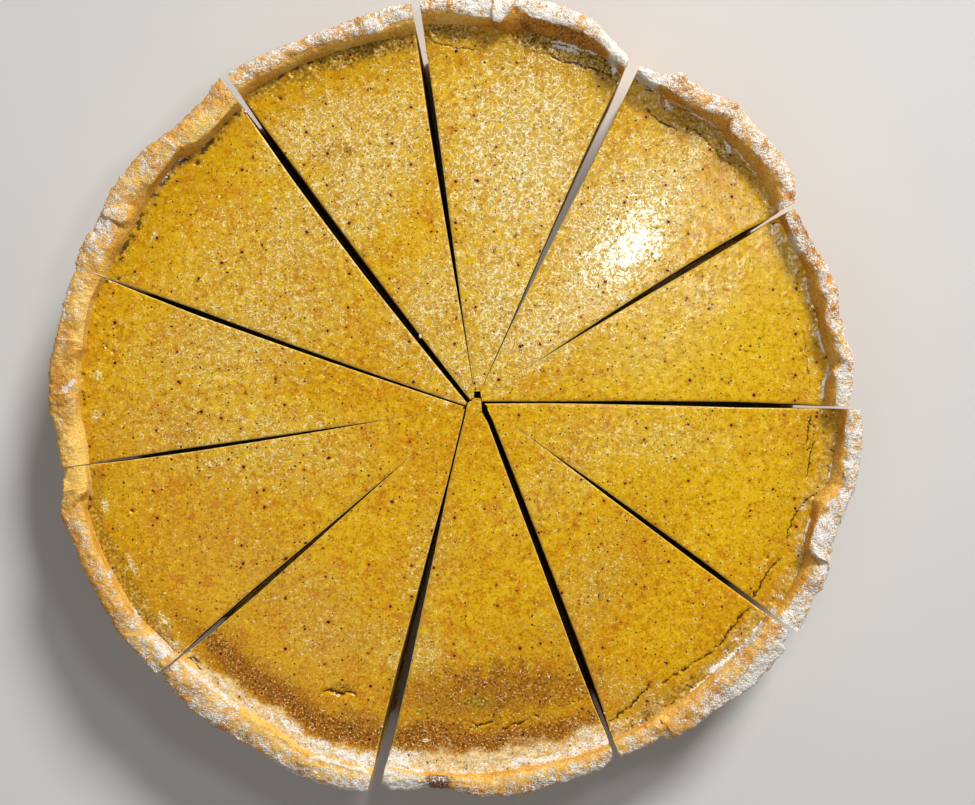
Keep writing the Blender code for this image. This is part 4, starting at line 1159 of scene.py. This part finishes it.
# painted highlights: a net of pale glints on the bubbles, in short worms where the painted sheen is
# less, and a painted white glare, with a clear coat, where it is greatest
reach = (pimple - 0.5) * 2.4 + wander * 1.2 + (glint_sheen - 0.42)
glint_worm = between(abs(net - 0.5), 0.06, 0.025) * between(reach, -0.05, 0.25) * (0.8 - dry * 0.5)
glare_core = between(glint_sheen, 0.62, 0.86)
glare_and_gloss = glare_core * between(reach, 0.5, 0.72)
colour = blend(glint_worm, colour, blend(glare_and_gloss, tint(246, 232, 182), tint(255, 252, 240)))

# dark grains of the porous edge, and dark specks: spacing in mm, share of places without one, most
# radius as a share of the spacing, and strength. Those of the first kind have an orange ring.
SPECKS = ((7.4, 0.6, 0.076, 1.0), (3.3, 0.7, 0.11, 1.0), (1.7, 0.78, 0.15, 0.9))
dark = between(mottle + mark(tree, "porous") * -0.34, 0.3, 0.22) * 0.8
for size, skipped, most, strength in SPECKS:
    specks = add_node(tree, "ShaderNodeTexVoronoi", {"Vector": place, "Scale": 1 / (size * MM)},
                      voronoi_dimensions="2D")
    shade = Value(tree, specks.outputs["Color"])
    chance = Value(tree, add_node(tree, "ShaderNodeSeparateColor", {0: shade}).outputs[0])
    radius = (chance - skipped) * (most / (1 - skipped))
    near = Value(tree, specks.outputs["Distance"]) - radius + (pimple - 0.5) * (0.6 / size)
    if size == SPECKS[0][0]:
        halo = between(near, 0.16, 0.02) * between(radius, 0.0, 0.02)
        colour = blend(halo * 0.45, colour, tint(190, 100, 0))
    speck = between(near, 0.12 / size, -0.08 / size) * strength
    dark = larger(dark, speck * between(radius, 0.0, 0.01))

# cracks with painted shade in them, the painted highlight line along the cuts, and the cut faces,
# whose darker colour is partly painted shade
# cracks and holes are painted dark brown: partly their own colour, partly painted shade in them
crack_shade = between(abs(mark(tree, "crack_side")) + (grain - 0.5) * 4.0, 1.2, 0.5) * mark(tree, "crack_shade")
colour = blend(crack_shade * 0.95, colour, tint(66, 40, 4))
colour = blend(dark, colour, tint(42, 22, 2))
colour = blend(mark(tree, "cut_edge_highlight"), colour, tint(252, 226, 128))
# painted shade: the cut faces get a darker olive colour than the skin
inside = mark(tree, "cut_face")
colour = blend(inside, colour, blend(blotch, tint(128, 94, 12), tint(186, 140, 30)))

dull = clamped(browned * 0.6 + larger(foam, olive_and_shade * 0.7))
shine = 0.09 + mottle * 0.08 + dull * 0.3 + (glare_core - glare_and_gloss) * 0.3 + clamped(inside + dark) * 0.5
sugar = dust_over(shader, place, colour, shine)
raised = between(pimple, 0.5, 0.8) * (0.5 + glint_sheen)
height = raised + glint_worm * 0.35 - dark * 0.5 + grain * dull * 2.6 + sugar * 3.2
add_bump(shader, height, 1.0, 0.05)
tree.links.new(glare_and_gloss.socket, shader.inputs["Coat Weight"])
shader.inputs["Specular IOR Level"].default_value = 0.26

# Looks of the filling's edge by bearing: how far in it reaches in mm, how raised and bubbly,
# olive (partly painted shade), dry and creamy, sugared, browned farther in, and how porous its last
# few mm are
EDGE_LOOKS = (
    (94.0, 9.0, 1.0, 1.0, 0.0, 0.0, 0.0, 0.4), (84.0, 8.0, 1.0, 0.5, 0.1, 0.0, 0.0, 0.2),
    (76.0, 10.0, 1.0, 1.2, 0.0, 0.0, 0.0, 0.5), (64.0, 9.0, 1.0, 1.0, 0.1, 0.0, 0.0, 0.5),
    (60.0, 4.0, 0.8, 0.3, 0.1, 0.2, 0.0, 0.4), (52.0, 9.0, 1.0, 0.7, 0.1, 0.0, 0.0, 0.5),
    (40.0, 9.0, 1.0, 0.7, 0.0, 0.0, 0.0, 0.4), (31.0, 6.0, 0.8, 0.4, 0.1, 0.1, 0.0, 0.3),
    (28.0, 5.0, 0.25, 0.15, 0.0, 0.0, 0.0, 0.1), (0.0, 6.0, 0.3, 0.25, 0.0, 0.0, 0.1, 0.3),
    (-3.0, 8.0, 0.7, 0.6, 0.0, 0.0, 0.2, 0.3), (-20.0, 7.0, 0.8, 0.45, 0.1, 0.1, 0.1, 0.5),
    (-34.0, 8.0, 0.8, 0.5, 0.1, 0.1, 0.1, 0.3), (-40.0, 8.0, 0.7, 0.6, 0.2, 0.1, 0.0, 0.3),
    (-55.0, 8.0, 0.7, 0.7, 0.2, 0.0, 0.1, 0.5), (-65.0, 8.0, 0.6, 0.6, 0.4, 0.2, 0.3, 0.3),
    (-67.0, 9.0, 0.6, 0.1, 0.9, 0.4, 0.7, 0.2), (-80.0, 10.0, 0.6, 0.0, 1.0, 0.25, 1.0, 0.3),
    (-92.0, 10.0, 0.6, 0.0, 1.0, 0.15, 1.0, 0.3), (-100.0, 8.0, 0.6, 0.0, 0.9, 0.6, 1.0, 0.2),
    (-104.0, 7.0, 0.6, 0.0, 0.8, 0.6, 1.0, 0.3), (-118.0, 7.0, 0.6, 0.0, 1.0, 0.35, 1.0, 0.5),
    (-131.0, 6.0, 0.6, 0.1, 1.0, 0.15, 1.0, 0.4), (-136.0, 4.0, 0.6, 0.3, 0.5, 0.0, 0.8, 0.6),
    (-138.0, 7.0, 0.7, 0.7, 0.3, 0.1, 0.4, 0.5), (-150.0, 9.0, 0.7, 0.75, 0.1, 0.0, 0.1, 0.4),
    (-162.0, 8.0, 0.7, 0.7, 0.1, 0.0, 0.0, 0.4), (-175.0, 8.0, 0.5, 0.35, 0.0, 0.0, 0.0, 0.3),
    (-198.0, 7.0, 0.6, 0.3, 0.0, 0.0, 0.0, 0.4), (-201.0, 5.0, 0.8, 0.5, 0.0, 0.0, 0.0, 0.9),
    (-215.0, 5.0, 0.9, 0.6, 0.1, 0.0, 0.0, 1.0), (-232.0, 5.0, 0.9, 0.6, 0.0, 0.0, 0.0, 0.9),
    (-235.0, 8.0, 0.9, 0.5, 0.1, 0.0, 0.0, 0.7), (-250.0, 9.0, 0.9, 0.9, 0.1, 0.0, 0.0, 0.5),
    (-263.0, 9.0, 0.9, 0.9, 0.1, 0.0, 0.0, 0.4),
)

# Patches of dried foam on the skin, on which glints are painted too, and small holes in it, painted
# dark partly as shade: bearing, radius, half length round the pie, half width, strength
FOAM_AND_GLINT_PATCHES = (
    (-142.5, 127.8, 3.4, 1.2, 1.0), (-152.4, 127.2, 4.6, 1.0, 1.0), (-162.6, 128.2, 2.4, 1.4, 1.0),
    (-177.0, 126.0, 2.6, 1.6, 0.9), (-183.5, 125.6, 1.8, 1.8, 0.9), (-208.0, 119.4, 3.4, 0.9, 0.7),
    (43.0, 126.0, 2.6, 1.6, 0.7), (38.0, 122.6, 3.6, 0.8, 0.6), (83.5, 122.4, 3.0, 1.4, 0.5),
    (5.8, 124.0, 1.2, 1.4, 0.7), (-29.0, 121.6, 2.0, 1.0, 0.6), (-246.6, 121.4, 1.4, 1.4, 0.7),
    (-256.0, 119.0, 3.0, 1.2, 0.5), (-95.0, 120.4, 1.2, 1.0, 1.0), (77.0, 120.8, 4.0, 0.9, 0.5),
)
HOLES = (
    (-222.0, 121.8, 1.0, 0.9, 1.0), (-239.4, 120.8, 0.7, 0.8, 1.0), (-251.8, 123.6, 0.7, 0.7, 0.8),
    (-188.2, 123.4, 0.6, 0.5, 0.9), (-187.4, 120.8, 0.6, 0.5, 0.9), (-25.0, 128.2, 0.5, 0.5, 0.9),
    (-8.4, 124.4, 0.5, 0.4, 0.9), (-134.6, 129.0, 2.0, 0.6, 1.0), (-199.2, 124.8, 0.8, 0.6, 1.0),
    (7.6, 121.2, 0.7, 0.6, 0.9), (-160.6, 120.2, 0.8, 0.7, 1.0), (-27.4, 122.2, 0.9, 0.5, 0.9),
)

for number in range(1, SLICES + 1):
    turns = spread_turns(FILLING_COLUMNS)
    reaches = 1 - (1 - np.linspace(0, 1, FILLING_ROWS)) ** ROW_CLUSTER
    shape = (FILLING_COLUMNS, FILLING_ROWS, FILLING_LAYERS)
    quads = block_faces(shape, open_sides=((2, -1),))
    used, faces = np.unique(quads, return_inverse=True)
    column, row, layer = np.unravel_index(used, shape)
    turn, reach, depth = turns[column], reaches[row], layer / (FILLING_LAYERS - 1)

    rim_x, rim_y = plan_place(number, turn, np.full_like(turn, NEAR_SHORE))
    bearing = np.degrees(np.arctan2(rim_y, rim_x))
    shore = rim_lines(bearing)[1]
    foot = foot_radius(bearing)
    level = shore_level(bearing)
    floor = BASE_THICK + FLOOR_CLEAR
    corners = (INNER_WALL[1], INNER_FOOT[2][1] + FLOOR_CLEAR, floor)
    heights = np.stack([level, *(np.full_like(level, height) for height in corners)])
    radii = np.stack([shore + 0.1, shore + INNER_WALL[0] - FLOOR_CLEAR,
                      foot + INNER_FOOT[2][0] - FOOT_CLEAR, foot + INNER_FOOT[1][0] - FLOOR_CLEAR])
    wall_depth = np.interp(depth, WALL_SHARES, np.arange(4.0))
    first = np.minimum(wall_depth.astype(int), 2)
    part = wall_depth - first
    index = np.arange(len(first))
    outer = radii[first, index] * (1 - part) + radii[first + 1, index] * part
    wall_z = heights[first, index] * (1 - part) + heights[first + 1, index] * part
    radius = outer * reach
    x, y = plan_place(number, turn, radius)

    looks = round_rim(EDGE_LOOKS, bearing)
    edge_reach, raised, olive_shade_edge, dry_edge, sugar_edge, brown_edge, porous_edge = looks
    inward = shore - radius
    edge_reach = edge_reach * (1 + 0.3 * lumps(x, y, 8.0, 64))
    edge_share = np.clip(1 - inward / edge_reach, 0.0, 1.0)
    surface = filling_level(x, y, reach) + layered_lumps(x, y, SKIN_LUMPS, 51)
    surface = surface + layered_lumps(x, y, SHORE_LUMPS, 61) * raised * np.clip(edge_share * 1.5, 0, 1)
    for size, share, wide, deep, seed in PITS:
        surface = surface + pits(x, y, size, share, wide, deep, seed)
    hollow, crack_side, crack_shade = crack_lines(x, y)
    holes = soft_spots(x, y, rim_spots(HOLES))
    gap_left, gap_right = gap_at(number, radius), gap_at(number + 1, radius)
    side_room = np.minimum(turn, 1 - turn) * slice_width(radius, 6.0)
    nearer_gap = np.where(turn < 0.5, gap_left, gap_right)
    open_cut = np.clip(nearer_gap / OPEN_GAP, 0.0, 1.0)
    surface = surface + hollow - 0.8 * holes
    surface = surface - EDGE_ROUND * np.exp(-side_room / ROUND_REACH) * open_cut
    surface = np.minimum(surface, level + SKIN_MOST)
    z = floor + (surface - floor) * (wall_z - floor) / (level - floor)

    left, right = CUT_FEET[number - 1], CUT_FEET[number % SLICES]
    rough = 1 + 0.25 * lumps(radius, z, 3.0, 81 + number)
    lean_left = left[1] * gap_left * depth * rough
    lean_right = right[0] * gap_right * depth * rough
    notched = 0.22 * np.clip(lumps(radius, turn * 3, 2.2, 84 + number) - 0.5, 0, 1) * (1 - depth)
    lean_left, lean_right = lean_left - notched, lean_right - notched
    shift_x, shift_y = step_out(number, turn, radius, lean_left, lean_right, FILLING_LEAN)
    x, y = x + shift_x, y + shift_y

    top = layer == 0
    browned_value = skin_spots(x, y, BROWNED)
    ring = sum(most * np.exp(-(((inward - far) / wide) ** 2)) for most, far, wide in BROWN_RINGS)
    browned_value = np.maximum(browned_value, np.minimum(brown_edge * ring, 1.0))
    olive_shade_value = skin_spots(x, y, OLIVE)
    olive_shade_value = np.maximum(olive_shade_value, olive_shade_edge * np.clip(edge_share * 1.8, 0, 1))
    # painted shade: an olive tone beside the open cuts
    olive_shade_value = np.maximum(olive_shade_value, CUT_SHADE * np.exp(-side_room / CUT_SHADE_REACH) * open_cut)
    # painted shade: a darker olive tone that reaches far in from the pastry
    olive_shade_value = np.maximum(olive_shade_value, 0.8 * olive_shade_edge * np.clip(1 - inward / EDGE_SHADE_REACH, 0, 1))
    foam_value = dry_edge * np.clip(edge_share * 1.7, 0, 1)
    foam_glint_patches = soft_spots(x, y, rim_spots(FOAM_AND_GLINT_PATCHES))
    foam_value = np.maximum(foam_value, 0.3 * foam_glint_patches)
    # painted glints and glare: strongest in the listed places, less at the edge, and on the foam
    # patches
    glint_sheen_value = 0.07 + 0.93 * skin_spots(x, y, PAINTED_GLINTS)
    glint_sheen_value = np.maximum(glint_sheen_value * (1 - 0.4 * edge_share), 1.2 * foam_glint_patches)
    sugar_value = sugar_edge * np.clip(edge_share * 2.0 - 0.4, 0, 1)
    sugar_value = np.maximum(sugar_value, rim_strokes(x, y, SUGAR_STREAKS, FILLING_LEVEL + 1.5))
    porous_value = porous_edge * np.exp(-((inward / POROUS_REACH) ** 2))
    porous_value = porous_value * (0.7 + 0.6 * lumps(x, y, 3.0, 67))
    # painted highlight: a pale line along the cut edges where they catch the light
    highlight_value = np.exp(-((side_room / CUT_HIGHLIGHT) ** 2)) * open_cut
    highlight_value = highlight_value * (0.55 + 0.45 * lumps(radius, turn * 9, 2.0, 95))
    marks = {
        "browned": browned_value * (1 - 0.8 * edge_share) * top, "olive_and_shade": olive_shade_value * top,
        "foam": foam_value * top, "sugar": sugar_value * top, "crack_shade": np.maximum(crack_shade, holes) * top,
        "crack_side": np.where(holes > 0.4, 0.0, crack_side),
        "porous": np.maximum(porous_value, 0) * top,
        "cut_face": np.where(top, 0.0, 1.0), "cut_edge_highlight": highlight_value * top,
        "glint_sheen": glint_sheen_value * top, "lemon": skin_spots(x, y, LEMON) * top,
    }

    number_of = np.full(int(np.prod(shape)), -1)
    number_of[used] = np.arange(len(used))
    lowest = number_of.reshape(shape)[:, :, -1]
    loop = np.concatenate([lowest[:-1, 0], lowest[-1, :-1], lowest[:0:-1, -1], lowest[0, :0:-1]])
    places = np.stack([x, y, z], axis=1)
    middle = places[loop].mean(axis=0)
    middle[2] = floor
    places = into_box(np.vstack([places, middle]))
    marks = {name: np.append(values, 0.0) for name, values in marks.items()}
    hub = np.full(len(loop), len(places) - 1)
    fan = np.stack([np.roll(loop, -1), loop, hub], axis=1)
    all_faces = faces.reshape(-1, 4).tolist() + fan.tolist()
    piece = add_piece(f"custard_{number:02d}", places, all_faces, filling_finish, marks)
    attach(piece, "root")
    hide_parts(f"filling_{number:02d}")


# Crumbs: bits of pastry and sugar that the knife dropped. They are small hard lumps and lie loose
# on the skin and on the edges of the cuts.

CRUMB_RINGS = 4
CRUMB_SIDES = 6

# Step right and down where each is seen, and its half sizes along, across and up in mm
PASTRY_CRUMBS = (
    (420.4, 336.6, 0.55, 0.85, 0.5), (498.5, 405.6, 0.3, 0.3, 0.2), (504.0, 405.9, 0.35, 0.25, 0.2),
    (509.6, 405.8, 0.3, 0.3, 0.25), (519.4, 406.0, 0.35, 0.3, 0.25), (427.6, 396.0, 0.35, 0.3, 0.25),
    (441.0, 374.0, 0.3, 0.35, 0.2), (617.3, 84.0, 0.45, 0.4, 0.3), (641.0, 93.0, 0.4, 0.5, 0.3),
    (411.6, 62.0, 0.4, 0.5, 0.3), (426.6, 52.0, 0.45, 0.5, 0.3), (433.6, 96.0, 0.35, 0.4, 0.3),
    (781.0, 222.0, 0.45, 0.35, 0.3), (246.0, 112.0, 0.5, 0.4, 0.3), (251.8, 108.0, 0.35, 0.4, 0.3),
    (382.2, 726.0, 0.4, 0.35, 0.3), (609.4, 728.0, 0.4, 0.5, 0.3), (604.2, 712.0, 0.35, 0.35, 0.25),
    (775.0, 606.0, 0.4, 0.35, 0.3), (190.0, 655.0, 0.4, 0.35, 0.3), (100.0, 455.0, 0.35, 0.3, 0.25),
    (455.0, 470.0, 0.25, 0.3, 0.2), (300.0, 196.0, 0.35, 0.3, 0.2), (557.8, 232.0, 0.3, 0.35, 0.2),
)


def crumb_lump(middle, half_sizes, seed):
    """Points and faces of one crumb: rings on a ball, each point pushed in or out by its own random
    share, with one point at either pole."""
    points = [(0.0, 0.0, -1.0)]
    for ring in range(1, CRUMB_RINGS):
        rise = -math.cos(math.pi * ring / CRUMB_RINGS)
        for side in range(CRUMB_SIDES):
            turn = 2 * math.pi * side / CRUMB_SIDES
            width = math.sqrt(1 - rise**2)
            points.append((width * math.cos(turn), width * math.sin(turn), rise))
    points.append((0.0, 0.0, 1.0))
    points = np.array(points)
    push = 0.75 + 0.5 * cell_numbers(np.arange(len(points)), np.full(len(points), seed), 301)
    points = points * push[:, None] * np.array(half_sizes) + np.array(middle)
    faces = []
    for side in range(CRUMB_SIDES):
        after = (side + 1) % CRUMB_SIDES
        faces.append((0, 1 + after, 1 + side))
        for ring in range(CRUMB_RINGS - 2):
            low, high = 1 + ring * CRUMB_SIDES, 1 + (ring + 1) * CRUMB_SIDES
            faces.append((low + side, low + after, high + after, high + side))
        high = 1 + (CRUMB_RINGS - 2) * CRUMB_SIDES
        faces.append((high + side, high + after, len(points) - 1))
    return points, faces


all_points, all_faces, count = [], [], 0
for seed, (right, down, long, wide, tall) in enumerate(PASTRY_CRUMBS):
    x, y = seen_place(right, down, FILLING_LEVEL)
    level = filling_level(x, y, min(math.hypot(x, y) / NEAR_SHORE, 1.0))
    points, faces = crumb_lump((x, y, level + 0.4 * tall), (long, wide, tall), seed)
    all_points.append(points)
    all_faces += [tuple(index + count for index in face) for face in faces]
    count += len(points)
places = into_box(np.vstack(all_points))
tones = {"toast": 0.12, "scorch": 0.0, "sugar": 0.55, "groove_shade": 0.0}
marks = {name: np.full(count, tone) for name, tone in tones.items()}
piece = add_piece("crumbs", places, all_faces, pastry_finish, marks)
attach(piece, "root")


# Floor under the pie: one plain pale sheet, matte and a little uneven in tone. It lies just below
# the base and is wide enough for the low views.

FLOOR_HALF = 2500.0
FLOOR_DROP = 0.3

floor_finish, tree, shader, place = new_finish("pale_floor")
colour = blend(cloudy(place, 120.0), tint(208, 207, 204), tint(214, 213, 210))
tree.links.new(colour.socket, shader.inputs["Base Color"])
shader.inputs["Roughness"].default_value = 0.7
corners = np.array([(-1, -1), (1, -1), (1, 1), (-1, 1)]) * FLOOR_HALF
corners = np.hstack([corners, np.full((4, 1), -FLOOR_DROP)])
floor_piece = add_piece("floor", corners, [(0, 1, 2, 3)], floor_finish, {})


# Light: a broad soft window high to the top right, a small one close above the pie and out of the
# picture that gives the glare on the skin, a weak broad one from the other side, and a dim sky.


def add_window(name, place, aim, size, power, colour):
    """A soft oval light at a place that looks at a point, with its power in watts."""
    data = bpy.data.lights.new(name, "AREA")
    data.shape = "ELLIPSE"
    data.size, data.size_y = size[0] * MM, size[1] * MM
    data.energy = power
    data.color = colour
    light = bpy.data.objects.new(name, data)
    light.location = [part * MM for part in place]
    back = np.array(place) - np.array(aim)
    flat = math.hypot(back[0], back[1])
    light.rotation_euler = (math.atan2(flat, back[2]), 0.0, math.atan2(back[0], -back[1]))
    bpy.context.scene.collection.objects.link(light)


add_window("window", (1020, 1920, 1500), (0, 0, 20), (820, 660), 79.0, (1.0, 0.99, 0.97))
add_window("glare", (103, 90, 378), (63, 50, 28), (64, 80), 0.24, (1.0, 1.0, 1.0))
add_window("fill", (-600, -700, 1300), (0, 0, 20), (1400, 1400), 4.0, (1.0, 0.98, 0.95))

sky = bpy.data.worlds.new("sky")
sky.use_nodes = True
background = sky.node_tree.nodes["Background"].inputs
background["Color"].default_value = (0.94, 0.97, 1.0, 1.0)
background["Strength"].default_value = 0.12
bpy.context.scene.world = sky
bpy.context.scene.view_settings.view_transform = "Standard"


# Camera: straight above the middle of the view, with the picture's top to the far side. Its lens
# takes in the picture's width in steps.

VIEW_STEPS = 975
SENSOR = 36.0

view_x, view_y = seen_place(*SEEN_MIDDLE, PLAN_LEVEL)
camera_data = bpy.data.cameras.new("camera")
camera_data.sensor_width = SENSOR
camera_data.lens = SENSOR * SEEN_FROM / (VIEW_STEPS * STEP)
camera = bpy.data.objects.new("camera", camera_data)
camera.location = (view_x * MM, view_y * MM, (PLAN_LEVEL + SEEN_FROM) * MM)
bpy.context.scene.collection.objects.link(camera)
bpy.context.scene.camera = camera
